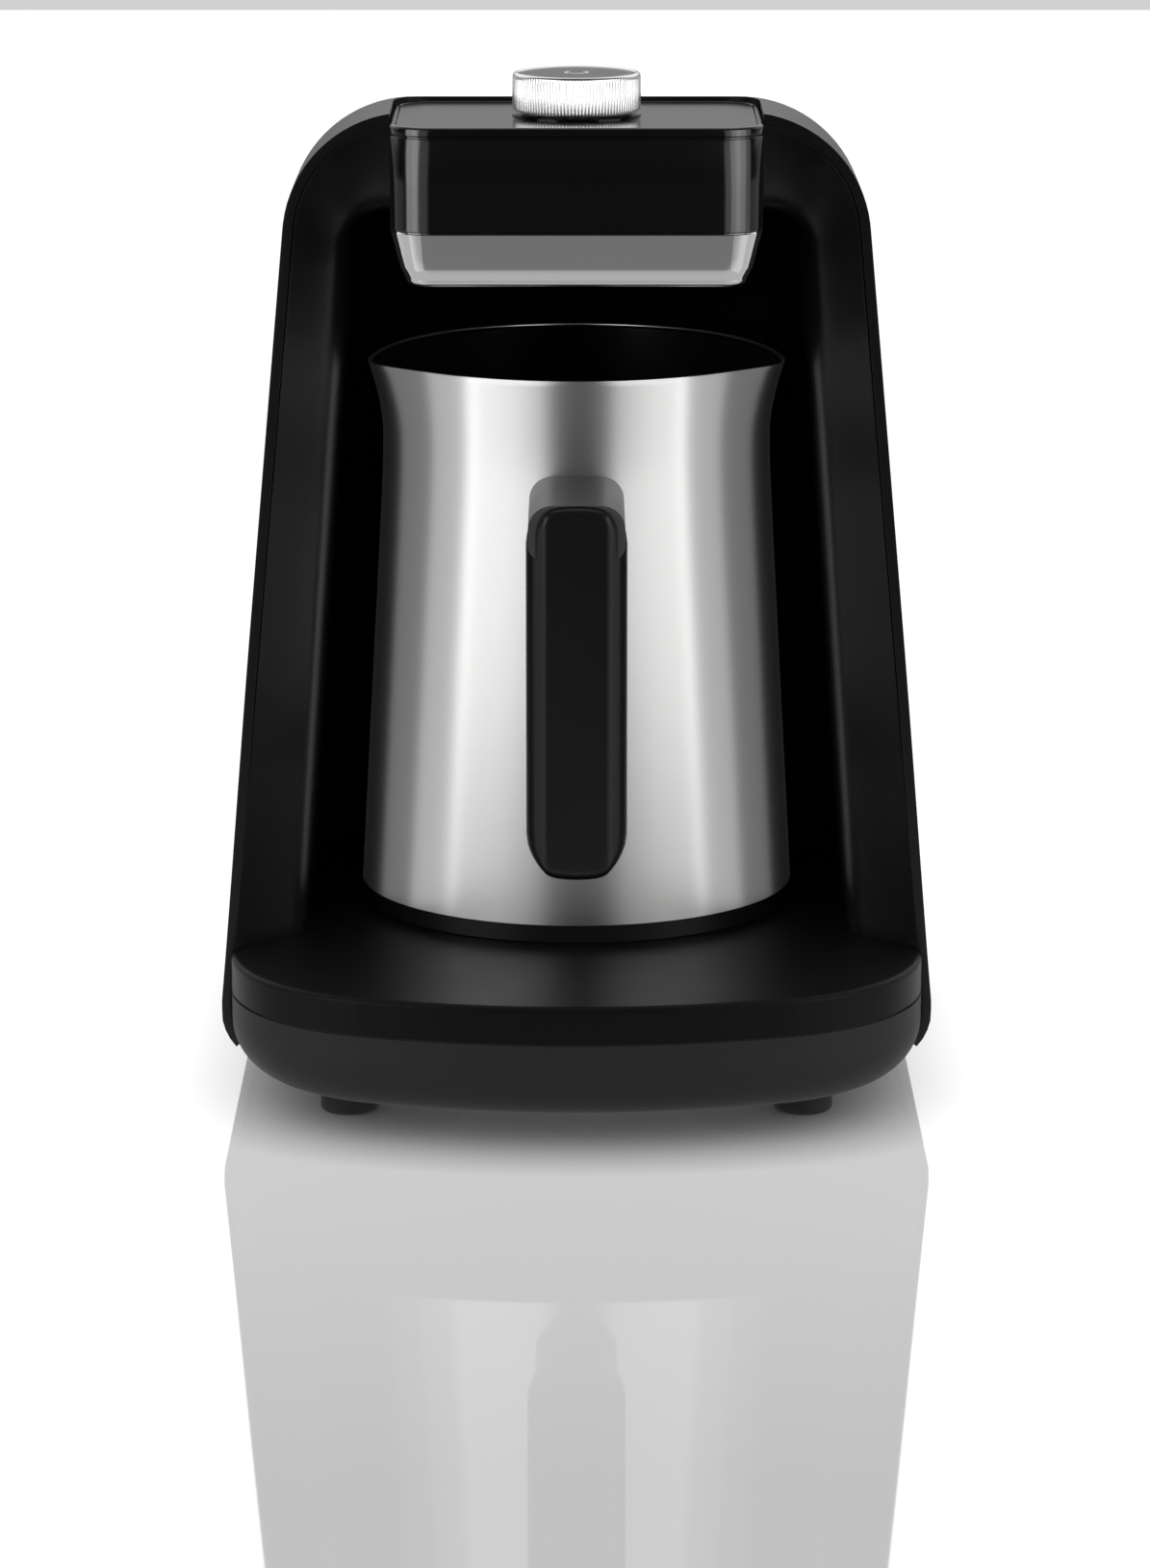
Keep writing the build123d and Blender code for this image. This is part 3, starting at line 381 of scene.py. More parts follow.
def rear_surface(x, z):
    """Where the casing's rear lies at (x, z), by a ray along Y."""
    hit = shoot(np.array([[x, 0.0, z]]), np.array([[0.0, 1.0, 0.0]]), 140, outside_casing)
    return float(hit[0, 1])


rear_pieces = []
for number, (x, z) in enumerate(SCREW_PLACES):
    surface = rear_surface(x, z)
    mouth, floor = surface - 1.3, surface - 4.2
    cup = [
        (POCKET_RADIUS, mouth), (POCKET_RADIUS, floor), (1.9, floor), (1.9, floor - 2),
        (5.6, floor - 2), (5.6, mouth), (POCKET_RADIUS, mouth),
    ]
    cup_piece = make_piece(f"screw_cup_{number}", turned_along_y(x, z, cup), "housing", flip=True)
    sharpen(cup_piece, 35)
    rear_pieces.append(cup_piece)
pad = [
    (5.6, 96.0), (5.6, 102.9), (5.9, 103.2), (9.6, 103.2), (10.3, 102.9), (10.5, 102.2),
    (10.5, 96.0), (5.6, 96.0),
]
pad_piece = make_piece(
    "cord_inlet_pad", turned_along_y(GLAND_X, GLAND_Z, pad, 72), "housing"
)
sharpen(pad_piece, 50)
rear_pieces.append(pad_piece)
for thing in rear_pieces:
    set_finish(thing, "casing_black")
    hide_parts("outer_shell")

# %% [markdown]
# ## The fascia and the bay
# From just inside the rim the front slopes back to the mouth of the bay, rolls over a soft edge and
# runs back as the bay's walls and ceiling, which curves down into the rear wall. It is one moulding,
# so it is one skin: an arch of points in front view, carried back row by row.

# %% The arch
PLATFORM = 38.5
BAY_HALF, BAY_LEAN, BAY_TOP, BAY_REAR = 71.1, 0.0712, 227.0, 76.0
BAY_CORNER, CEILING_ARC, PLAN_CORNER = 10.0, 70.0, 36.0
FASCIA_Y, THROAT_Y = -46.0, -32.0


def arch(half_low, half_high, low, high, radius, per_side=56, per_corner=18, per_top=44):
    """Half widths at two heights, and a round corner between side and top: up the left side, round,
    across the top, round, and down the right side."""
    slope = (half_low - half_high) / (high - low)
    lean = math.atan(slope)
    corner_z = high - radius
    corner_x = half_low - (corner_z - low) * slope - radius / math.cos(lean)
    turn = np.linspace(lean, math.pi / 2, per_corner)
    round_x = corner_x + radius * np.cos(turn)
    round_z = corner_z + radius * np.sin(turn)
    up = np.linspace(0, 1, per_side)[:-1]
    side_x = half_low + (round_x[0] - half_low) * up
    side_z = low + (round_z[0] - low) * up
    across = np.linspace(0, 1, per_top // 2)[1:]
    top_x = round_x[-1] * (1 - across)
    top_z = np.full(len(across), high)
    x = np.concatenate([side_x, round_x, top_x])
    z = np.concatenate([side_z, round_z, top_z])
    return np.stack([np.concatenate([-x, x[-2::-1]]), np.concatenate([z, z[-2::-1]])], axis=-1)


def fascia_arch(inset):
    """The outline just inside the casing's rim."""
    high = TOP - inset
    wide = leaning_edge(HALF_WIDTH, PLATFORM, inset) + 0.5
    narrow = leaning_edge(HALF_WIDTH, high, inset) + 0.5
    return arch(wide, narrow, PLATFORM, high, TOP_ROUND - inset)


def bay_arch(y):
    """The bay's outline at depth y: narrower within the plan corner's radius of the rear wall, and
    lower along the ceiling's arc."""
    back = max(y - (BAY_REAR - PLAN_CORNER), 0.0)
    narrower = PLAN_CORNER - math.sqrt(max(PLAN_CORNER**2 - back**2, 0.0))
    down = max(y - (BAY_REAR - CEILING_ARC), 0.0)
    high = BAY_TOP - CEILING_ARC + math.sqrt(max(CEILING_ARC**2 - down**2, 0.0))
    low_half = BAY_HALF - narrower
    high_half = BAY_HALF - BAY_LEAN * (high - PLATFORM) - narrower
    return arch(low_half, high_half, PLATFORM, high, BAY_CORNER)


def row_at(outline, y):
    """A front-view outline set at depth y."""
    return at(outline[:, 0], float(y), outline[:, 1])


# %% Rows from the rim back to the rear wall
outer, mouth = fascia_arch(2.8), bay_arch(THROAT_Y)
flange = [row_at(outer, -38.0), row_at(outer, -42.0), row_at(outer, FASCIA_Y)]
start, end = row_at(outer, FASCIA_Y), row_at(mouth, THROAT_Y)
BOW, BOW_POWER = 14, 1.25
slope_rows = [
    start * (1 - s) + end * s + np.array([0, BOW * (1 - s - (1 - s) ** BOW_POWER), 0])
    for s in (0.04, 0.14, 0.26, 0.38, 0.5, 0.62, 0.72)
]
soft_start, soft_end = slope_rows[-1], row_at(mouth, THROAT_Y + 5.5)
mouth_rows = [
    soft_start * (1 - t) ** 2 + end * 2 * t * (1 - t) + soft_end * t * t
    for t in np.linspace(0, 1, 11)[1:]
]
arc_start = BAY_REAR - CEILING_ARC
tunnel_rows = [row_at(bay_arch(y), y) for y in np.linspace(THROAT_Y + 10, arc_start, 7)]
swing = np.radians(np.linspace(0, 90, 34))[1:]
deep_rows = [row_at(bay_arch(y), y) for y in arc_start + CEILING_ARC * np.sin(swing)]
bay_grid = np.stack(flange + slope_rows + mouth_rows + tunnel_rows + deep_rows)
front_skin = make_piece(
    "fascia_and_bay", bay_grid, "housing", around=False,
    last_pole=(0, BAY_REAR, PLATFORM), flip=True,
)
thicken(front_skin, 1.8)
soften_edges(front_skin, 0.5)
cut_away(front_skin, head_cutter)
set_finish(front_skin, "casing_black")
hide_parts("front_frame")
for cutter in (casing_cutter, head_cutter):
    bpy.data.objects.remove(cutter)

# %% [markdown]
# ## The head
# The head is a glossy black box with round corners. Gloss shows every flat, so its side wall, the
# trim on top and the tapered chrome band below are carried round the same smooth outline.


# %% The side wall and the trim
def ring_grid(levels):
    """Rows run round the outline and come back to the start, and columns run round the section."""
    section = np.transpose(stack_outlines(levels), (1, 0, 2))
    return np.concatenate([section, section[:1]])


def merge_seam(thing):
    """The first and last rows of a ring are the same points, and become one."""
    work = bmesh.new()
    work.from_mesh(thing.data)
    bmesh.ops.remove_doubles(work, verts=work.verts, dist=1e-6)
    work.to_mesh(thing.data)
    work.free()
    sharpen(thing, 40)
    return thing


def head_ring(name, levels, slot, node):
    """A closed ring that stands for one node of the head."""
    thing = merge_seam(make_piece(name, ring_grid(levels), "housing", flip=True))
    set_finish(thing, slot)
    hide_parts(node)
    return thing


BODY_LOW, BODY_HIGH, HEAD_TOP = 226.5, 250.1, 252.5
head_wall = head_ring("head_wall", [
    (0.25, BODY_LOW), (0.0, BODY_LOW + 0.25), (0.0, 238.0), (0.0, BODY_HIGH - 0.55),
    (0.12, BODY_HIGH - 0.4), (0.5, BODY_HIGH - 0.4), (0.5, BODY_HIGH), (2.0, BODY_HIGH),
    (2.0, 238.0), (2.0, BODY_LOW),
], "gloss_black", "head_body")
turn = np.radians([0, 22.5, 45, 67.5, 90])
soft_top = [(0.9 * (1 - math.cos(t)), HEAD_TOP - 0.9 + 0.9 * math.sin(t)) for t in turn]
head_trim = head_ring("head_trim", [
    (0.3, BODY_HIGH), (0.0, BODY_HIGH + 0.3), *soft_top, (1.35, HEAD_TOP),
    (1.6, HEAD_TOP - 0.25), (1.6, BODY_HIGH + 0.8), (3.6, BODY_HIGH + 0.8), (3.6, BODY_HIGH),
], "gloss_black", "top_bezel")

# %% [markdown]
# ## The chrome band
# Under the head a chrome skirt leans in towards the bottom and rolls under with a soft edge. It runs
# round the front and sides and stops short of the rear. Its lettering is left off.

# %% The band as a section carried round the front of the head
BAND_LOW, BAND_REAR, TAPER = 212.7, -12.0, 4.2


def band_path(inset, per_side=16, per_corner=28, per_front=24):
    """The head's outline from the left rear round the front to the right rear: a side run, a quarter
    circle, the front, a quarter circle and the other side run, all brought in by the inset."""
    radius = HEAD_CORNER - inset
    middle_x = HEAD_HALF_WIDTH - HEAD_CORNER
    middle_y = HEAD_Y - HEAD_HALF_DEPTH + HEAD_CORNER
    turn = np.linspace(math.pi, 1.5 * math.pi, per_corner)
    corner_x = -middle_x + radius * np.cos(turn)
    corner = np.stack([corner_x, middle_y + radius * np.sin(turn)], axis=-1)
    down = np.linspace(BAND_REAR, middle_y, per_side)[:-1]
    side = np.stack([np.full(len(down), corner[0, 0]), down], axis=-1)
    across = np.linspace(-middle_x, 0, per_front // 2)[1:]
    front = np.stack([across, np.full(len(across), corner[-1, 1])], axis=-1)
    half = np.concatenate([side, corner, front])
    return np.concatenate([half, half[-2::-1] * [-1, 1]])


face_line = [
    (0.0, 226.0), (0.75, 223.1), (1.55, 220.0), (2.25, 217.3), (2.4, 216.9), (2.62, 216.4),
    (3.1, 215.3), (3.5, 214.6),
]
LIP = 1.6
lower_round = [
    (3.7 + LIP * (1 - math.cos(t)), 214.3 - LIP * math.sin(t))
    for t in np.radians([10, 30, 50, 70, 90])
]
section = [
    (0.35, BODY_LOW - 0.05), *face_line, *lower_round, (TAPER + 3.2, BAND_LOW),
    (TAPER + 3.2, BAND_LOW + 0.6), (TAPER + 1.5, BAND_LOW + 2.6), (1.5, BODY_LOW - 0.6),
    (1.5, BODY_LOW - 0.05),
]
band_rows = np.stack([at(*band_path(inset).T, z) for inset, z in section], axis=1)
band_ends = [tuple(band_rows[k].mean(0)) for k in (0, -1)]
chrome_skirt = make_piece(
    "chrome_skirt", band_rows, "housing", first_pole=band_ends[0], last_pole=band_ends[1]
)
sharpen(chrome_skirt, 40)
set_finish(chrome_skirt, "bright_chrome")
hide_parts("chrome_band")

# %% [markdown]
# ## The knob
# The knob is a short silver drum with fine flutes to grip it by, and a dark glass disc on top. The
# flutes are a sine on the radius that fades out at the top and bottom edges.

# %% The fluted ring
KNOB_LOW, KNOB_TOP, KNOB_RADIUS = 253.5, 263.1, 16.1
FLUTES, FLUTE_DEPTH, PER_FLUTE = 116, 0.28, 6


def about_knob(section, columns, flute_share):
    """A section of (radius, height) points carried round the knob's axis, with flutes where the
    share is 1 and none where it is 0."""
    turn = full_turn(columns)
    section = np.array(section, float)
    share = np.array(flute_share, float)[:, None]
    wave = np.abs(np.sin(turn * FLUTES / 2)) ** 0.8 - 1
    radius = section[:, :1] + FLUTE_DEPTH * share * wave
    return at(radius * np.cos(turn), HEAD_Y + radius * np.sin(turn), section[:, 1:])


ring_section = [
    (15.3, KNOB_LOW), (15.9, KNOB_LOW + 0.15), (16.0, KNOB_LOW + 0.5), (16.1, KNOB_LOW + 0.9),
    (KNOB_RADIUS, 258.0), (KNOB_RADIUS, KNOB_TOP - 1.5), (16.05, KNOB_TOP - 1.1),
    (15.95, KNOB_TOP - 0.55), (15.7, KNOB_TOP - 0.2), (15.4, KNOB_TOP - 0.03),
    (14.9, KNOB_TOP - 0.02), (14.55, KNOB_TOP - 0.3), (14.55, KNOB_TOP - 1.2),
    (13.9, KNOB_TOP - 1.2), (13.9, KNOB_LOW), (15.3, KNOB_LOW),
]
flute_share = [0, 0, 0.4, 1, 1, 1, 0.5] + [0] * 9
knob_grid = about_knob(ring_section, FLUTES * PER_FLUTE, flute_share)
knob_drum = merge_seam(make_piece("knob_drum", knob_grid, "knob"))
sharpen(knob_drum, 50)
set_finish(knob_drum, "satin_silver")
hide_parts("knob_ring")

# %% The disc and the small mark on it
DISC_LOW, DISC_HIGH = KNOB_TOP - 1.3, KNOB_TOP - 0.16
disc_section = [
    (14.5, DISC_LOW), (14.5, KNOB_TOP - 0.45), (14.2, KNOB_TOP - 0.22), (12.0, KNOB_TOP - 0.18),
    (6.0, DISC_HIGH),
]
disc_grid = about_knob(disc_section, 96, [0] * 5)
knob_disc = make_piece(
    "knob_disc", disc_grid, "knob",
    first_pole=(0, HEAD_Y, DISC_LOW), last_pole=(0, HEAD_Y, DISC_HIGH),
)
sharpen(knob_disc, 60)
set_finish(knob_disc, "gloss_black")
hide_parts("knob_cap")


def mark_strip(start_turn, end_turn, radius, width, columns=40):
    """A thin flat strip bent into part of a ring, lying on the disc."""
    turn = np.linspace(start_turn, end_turn, columns)[:, None]
    high, low = KNOB_TOP - 0.08, KNOB_TOP - 0.2
    r = np.array([radius + width, radius + width, radius, radius])
    z = np.array([low, high, high, low])
    return at(r * np.cos(turn), HEAD_Y + r * np.sin(turn), z)


arc = mark_strip(math.radians(125), math.radians(415), 2.6, 0.5)
arc_ends = [tuple(arc[k].mean(0)) for k in (0, -1)]
mark = make_piece("knob_mark", arc, "knob", first_pole=arc_ends[0], last_pole=arc_ends[1])
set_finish(mark, "light_pipe")

# %% [markdown]
# ## The pot
# The pot is pressed from steel sheet: a wall that leans in to a neck, opens again to the rim, and
# swells into a pouring spout at each side. The rim dips a little at the spouts. Outside it is brushed
# steel and inside it has a black non-stick coat, so it is made as two skins.

# %% The pot's formula
POT_Y, POT_LOW, POT_HEIGHT = 15.0, 38.8, 145.7
FOOT_RADIUS, WALL_LEAN, NECK, RIM_RADIUS = 57.4, 0.0565, 119.0, 51.3
SPOUT_REACH, SPOUT_ANGLE, SPOUT_DIP = 4.2, 26.0, 2.0
SHEET, WALL_FOOT, NECK_EASE = 0.8, 4.6, 5.0


def wall_radius(height):
    """Leaning in from the foot to the neck, eased into upright there by the logarithm of an
    exponential over NECK_EASE, then opening to the rim with the power 1.5."""
    neck = FOOT_RADIUS - WALL_LEAN * NECK
    share = np.clip((height - NECK) / (POT_HEIGHT - NECK), 0, 1)
    past = np.clip((height - NECK) / NECK_EASE, -30, 30)
    straight = FOOT_RADIUS - WALL_LEAN * (height - NECK_EASE * np.log1p(np.exp(past)))
    return straight + (RIM_RADIUS - neck) * share**1.5


def pot_radius(turn, height):
    """The round wall and a bell-shaped spout at each side that grows from above the neck."""
    rise = np.clip((height - NECK - 6) / (POT_HEIGHT - NECK - 6), 0, 1)
    away = np.degrees(np.abs((turn + math.pi / 2) % math.pi - math.pi / 2))
    return wall_radius(height) + SPOUT_REACH * rise**1.7 * np.exp(-((away / SPOUT_ANGLE) ** 2))


def rim_height(turn):
    """The rim is level but for a dip at the two spouts."""
    sideways = np.abs(np.cos(turn)) * pot_radius(turn, POT_HEIGHT)
    return POT_HEIGHT - SPOUT_DIP * (sideways / (RIM_RADIUS + SPOUT_REACH)) ** 6.35


def pot_rows(turn, low, shares, inset, lower=0.0):
    """Rows up the wall from low to the rim, less lower, each a share of the way."""
    high = rim_height(turn)[None, :] - lower
    height = low + (high - low) * np.array(shares)[:, None]
    radius = pot_radius(turn[None, :], height) - inset
    return at(radius * np.cos(turn), POT_Y + radius * np.sin(turn), POT_LOW + height)


# %% The steel wall
pot_turn = full_turn(288)
climb = np.concatenate([np.linspace(0, 0.78, 26), np.linspace(0.8, 1.0, 22)])
steel_outside = pot_rows(pot_turn, WALL_FOOT, climb, 0.0, 0.3)
steel_lip = np.concatenate([
    pot_rows(pot_turn, WALL_FOOT, [1.0], inset, lower)
    for inset, lower in ((0.05, 0.12), (0.2, 0.02), (0.4, 0.0), (0.6, 0.02), (0.75, 0.12))
])
steel_inside = pot_rows(pot_turn, WALL_FOOT, climb[::-1], SHEET, 0.3)
steel_grid = np.concatenate([steel_outside, steel_lip, steel_inside, steel_outside[:1]])
pot_wall = merge_seam(make_piece("pot_wall", steel_grid, "pot"))
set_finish(pot_wall, "pot_steel")
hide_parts("pot_vessel")
print("pot stands from", steel_grid[..., 2].min(), "to", steel_grid[..., 2].max())

# %% The black coat inside
FLOOR, FLOOR_ROUND, COAT = 15.2, 7.0, 0.08
coat_foot = FLOOR + FLOOR_ROUND
coat_wall = pot_rows(pot_turn, coat_foot, climb[::-1], SHEET + COAT, 0.5)
base_radius = pot_radius(pot_turn[None, :], np.array([[coat_foot]])) - SHEET - COAT
down = np.radians(np.linspace(0, 90, 8))[1:, None]
corner_radius = base_radius - FLOOR_ROUND * (1 - np.cos(down))
corner_height = coat_foot - FLOOR_ROUND * np.sin(down) + 0.05
coat_corner = at(
    corner_radius * np.cos(pot_turn), POT_Y + corner_radius * np.sin(pot_turn),
    POT_LOW + corner_height,
)
floor_middle = np.array([0, POT_Y, POT_LOW + FLOOR + 0.05])
shrink = np.array([0.7, 0.4, 0.12])[:, None, None]
coat_floor = floor_middle + (coat_corner[-1] - floor_middle) * shrink
coat_grid = np.concatenate([coat_wall, coat_corner, coat_floor])
coat = make_piece("pot_coat", coat_grid, "pot", last_pole=tuple(floor_middle))
thicken(coat, 0.06)
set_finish(coat, "casing_black")
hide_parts("pot_vessel")

# %% [markdown]
# ## The handle
# The grip is a slim upright bar with a flat face, slanted cheeks and round ends. It is the space
# common to a few faces, with every edge rounded by the same join as on the casing. Rays from a line
# inside it find its surface, and turn over at both ends to close it.

# %% The grip
GRIP_LOW, GRIP_HIGH = 64.5, 159.8
GRIP_FRONT, GRIP_REAR, GRIP_HALF = -80.0, -64.0, 12.7
GRIP_END, GRIP_ROUND, SIDE_ROUND, END_ARCH = 8.0, 1.1, 2.4, 35.0
GRIP_MIDDLE, GRIP_CORE_Y = (GRIP_LOW + GRIP_HIGH) / 2, -72.0


def outside_grip(x, y, z):
    """Distance outside the grip, face by face: front, slanted cheeks, sides, rear and its chamfers,
    and in front view a bar whose ends are gently arched between round corners."""
    side = np.abs(x)
    cheek = ((side - 8.3) * 5.5 - (y - GRIP_FRONT) * 4.4) / math.hypot(5.5, 4.4)
    heel = ((side - 8.2) * 5.0 + (y - GRIP_REAR) * 4.5) / math.hypot(5.0, 4.5)
    arch_drop = END_ARCH - np.sqrt(END_ARCH**2 - np.minimum(side, 20.0) ** 2)
    height = np.abs(z - GRIP_MIDDLE) - (GRIP_HIGH - GRIP_LOW) / 2 + arch_drop
    front_view = rounded_join(side - GRIP_HALF, height, GRIP_END)
    shape = rounded_join(rounded_join(GRIP_FRONT - y, cheek, GRIP_ROUND), front_view, SIDE_ROUND)
    return rounded_join(rounded_join(shape, y - GRIP_REAR, GRIP_ROUND), heel, GRIP_ROUND)


END_ROWS, BAR_ROWS, AROUND = 22, 30, 160
around_grip = full_turn(AROUND)
end_tilt = np.linspace(0, 86, END_ROWS)
tilt = np.radians(np.concatenate([-end_tilt[::-1], np.zeros(BAR_ROWS), end_tilt]))[:, None]
core_low, core_high = GRIP_LOW + 8.0, GRIP_HIGH - 8.0
core_z = np.concatenate([
    np.full(END_ROWS, core_low),
    np.linspace(core_low, core_high, BAR_ROWS + 2)[1:-1],
    np.full(END_ROWS, core_high),
])
grip_centres = np.zeros((len(core_z), AROUND, 3)) + [0, GRIP_CORE_Y, 0]
grip_centres[..., 2] = core_z[:, None]
grip_rays = at(
    np.cos(tilt) * np.cos(around_grip), np.cos(tilt) * np.sin(around_grip), np.sin(tilt)
)
grip_skin = shoot(grip_centres, grip_rays, 60, outside_grip)
grip = make_piece(
    "grip_bar", grip_skin, "pot",
    first_pole=(0, GRIP_CORE_Y, GRIP_LOW), last_pole=(0, GRIP_CORE_Y, GRIP_HIGH),
)
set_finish(grip, "casing_black")
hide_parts("handle_grip")

# %% The dark face let into the grip
FACE_HALF, FACE_LOW, FACE_HIGH, FACE_CORNER = 7.6, 67.6, 157.4, 3.4
FACE_MIDDLE, FACE_TALL = (FACE_LOW + FACE_HIGH) / 2, (FACE_HIGH - FACE_LOW) / 2
face_turn = full_turn(120)


def face_row(inset, y):
    """A tall rounded rectangle in front view, at depth y, brought in by the inset."""
    half_x, half_z = FACE_HALF - inset, FACE_TALL - inset
    rays = at(np.cos(face_turn), 0, np.sin(face_turn))
    rays = rays * np.array([half_x, 1.0, half_z]) / half_z
    rays /= np.linalg.norm(rays, axis=1)[:, None]

    def outside_face(x, _, z):
        return rounded_join(np.abs(x) - half_x, np.abs(z - FACE_MIDDLE) - half_z, FACE_CORNER)

    return shoot(np.array([0.0, y, FACE_MIDDLE]), rays, 80, outside_face)


face_section = [(0.0, 0.9), (0.0, 0.3), (0.12, 0.12), (0.4, 0.03), (1.2, 0.01), (4.0, 0.005)]
face_rows = np.stack([face_row(inset, GRIP_FRONT + behind) for inset, behind in face_section])
grip_face = make_piece(
    "grip_face", face_rows, "pot", flip=True,
    first_pole=(0, GRIP_FRONT + 0.9, FACE_MIDDLE),
    last_pole=(0, GRIP_FRONT + 0.005, FACE_MIDDLE),
)
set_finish(grip_face, "gloss_black")
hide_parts("handle_inlay")

# %% The two brackets between grip and pot
arm_turn = full_turn(96)


def bracket(name, node, half, low, high, top_round, low_round, start):
    """A bar with a rounded section, carried from inside the grip to the pot, where every point
    stops at the wall's own radius."""
    middle, tall = (low + high) / 2, (high - low) / 2
    rays = at(np.cos(arm_turn) * half / tall, 0, np.sin(arm_turn))
    rays /= np.linalg.norm(rays, axis=1)[:, None]

    def outside_bar(x, _, z):
        above, below = z - high, low - z
        return rounded_join(rounded_join(np.abs(x) - half, above, top_round), below, low_round)

    ring = shoot(np.array([0.0, 0.0, middle]), rays, 60, outside_bar)
    wall_y = POT_Y - np.sqrt((wall_radius(ring[:, 2] - POT_LOW) + 0.02) ** 2 - ring[:, 0] ** 2)
    share = np.concatenate([[0.0], np.linspace(0.02, 0.98, 14), [1.0]])[:, None]
    y = start + (wall_y - start) * share
    rows = at(ring[:, 0], y, ring[:, 2])
    end_y = POT_Y - wall_radius(middle - POT_LOW) - 0.02
    thing = make_piece(
        name, rows, "pot", first_pole=(0, start, middle), last_pole=(0, float(end_y), middle)
    )
    sharpen(thing, 60)
    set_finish(thing, slot_of[node])
    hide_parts(node)
    return thing


upper_arm = bracket(
    "upper_arm", "handle_upper_bracket", half=12.1, low=145.8, high=159.85,
    top_round=6.0, low_round=4.0, start=-77.6,
)
lower_arm = bracket(
    "lower_arm", "handle_lower_bracket", half=10.6, low=67.5, high=79.5,
    top_round=3.5, low_round=3.5, start=GRIP_REAR - 1.5,
)

# %% [markdown]
# ## Shared effects
# Two effects come up in nearly every finish. Moulded plastic has a fine grain and slightly uneven
# gloss. Brushed steel has fine lines round the pot, so its noise changes with height alone. Each is
# a node group with named inputs, so a material can set its own values.


# %% Short ways to lay out nodes
def add(tree, kind, settings=None, **inputs):
    """A new shader node of a kind. Each input gets a value, or a link from another node's output."""
    node = tree.nodes.new("ShaderNode" + kind)
    for key, value in (settings or {}).items():
        setattr(node, key, value)
    for key, value in inputs.items():
        socket = node.inputs[key.replace("_", " ")]
        if isinstance(value, bpy.types.NodeSocket):
            tree.links.new(value, socket)
        else:
            socket.default_value = value
    return node


def worked_out(tree, operation, first, second):
    """What comes out of a Math node that two outputs lead into."""
    node = add(tree, "Math", {"operation": operation})
    tree.links.new(first, node.inputs[0])
    tree.links.new(second, node.inputs[1])
    return node.outputs["Value"]


def ranged(tree, value, low, high, to_low=0.0, to_high=1.0, kind="LINEAR"):
    """An output carried from one range of numbers to another."""
    node = add(
        tree, "MapRange", {"interpolation_type": kind}, Value=value,
        From_Min=low, From_Max=high, To_Min=to_low, To_Max=to_high,
    )
    return node.outputs["Result"]


def in_mirrors(tree, path):
    """1 for a ray that comes from a mirroring or clear surface, and 0 for any other."""
    return worked_out(
        tree, "MAXIMUM", path.outputs["Is Glossy Ray"], path.outputs["Is Transmission Ray"]
    )


def new_group(name, inputs, outputs):
    """An empty node group with number inputs and outputs."""
    group = bpy.data.node_groups.new(name, "ShaderNodeTree")
    for label, value in inputs:
        socket = group.interface.new_socket(
            label, in_out="INPUT", socket_type="NodeSocketFloat"
        )
        socket.default_value = value
    for label in outputs:
        group.interface.new_socket(label, in_out="OUTPUT", socket_type="NodeSocketFloat")
    return group, group.nodes.new("NodeGroupInput"), group.nodes.new("NodeGroupOutput")


# %% The grain of moulded plastic
grain_group, given, put_out = new_group(
    "moulded_grain", [("Grain Scale", 1800.0), ("Cloud Scale", 18.0)], ["Height", "Cloud"]
)
place = add(grain_group, "TexCoord")
for label, result, detail in (("Grain Scale", "Height", 3.0), ("Cloud Scale", "Cloud", 4.0)):
    noise = add(
        grain_group, "TexNoise",
        Vector=place.outputs["Object"], Scale=given.outputs[label], Detail=detail,
    )
    grain_group.links.new(noise.outputs["Fac"], put_out.inputs[result])

# %% The lines of brushed metal
brush_group, given, put_out = new_group(
    "brushed_lines", [("Line Scale", 1500.0), ("Band Scale", 240.0)], ["Height", "Streak"]
)
place = add(brush_group, "TexCoord")
parts = add(brush_group, "SeparateXYZ", Vector=place.outputs["Object"])
for label, result in (("Line Scale", "Height"), ("Band Scale", "Streak")):
    lines = add(
        brush_group, "TexNoise", {"noise_dimensions": "1D"},
        W=parts.outputs["Z"], Scale=given.outputs[label], Detail=2.0,
    )
    brush_group.links.new(lines.outputs["Fac"], put_out.inputs[result])
print("effects:", [group.name for group in bpy.data.node_groups])

# %% [markdown]
# ## Finishes
# Every finish has the same plan: two close colours mixed by an uneven mask, a roughness that wanders
# a little with the same mask, and a fine bump. Only the numbers differ, so one function lays the plan
# out, and a list gives each slot of the record its numbers.

# %% The plan of a finish
BUMP_DISTANCE = 0.0005


def coloured(level):
    """A colour with full opacity, from one level of grey or three of red, green and blue."""
    return (*level, 1.0) if isinstance(level, tuple) else (level, level, level, 1.0)


def finish(name, colour, other, roughness, wander, metallic=0.0, group=grain_group,
           scales=(1800.0, 18.0), bump=0.02, mirroring=0.5):
    """Links a group's mask to colour and roughness, and its height to a bump."""
    material = bpy.data.materials.new(name)
    material.use_nodes = True
    tree = material.node_tree
    shader = tree.nodes["Principled BSDF"]
    shader.inputs["Metallic"].default_value = metallic
    shader.inputs["Specular IOR Level"].default_value = mirroring
    effect = add(tree, "Group", {"node_tree": group})
    effect.inputs[0].default_value, effect.inputs[1].default_value = scales
    mix = add(
        tree, "Mix", {"data_type": "RGBA"},
        Factor=effect.outputs[1], A=coloured(colour), B=coloured(other),
    )
    tree.links.new(mix.outputs["Result"], shader.inputs["Base Color"])
    spread = ranged(tree, effect.outputs[1], 0.3, 0.7, roughness - wander, roughness + wander)
    tree.links.new(spread, shader.inputs["Roughness"])
    relief = add(tree, "Bump", Strength=bump, Distance=BUMP_DISTANCE, Height=effect.outputs[0])
    tree.links.new(relief.outputs["Normal"], shader.inputs["Normal"])
    return material


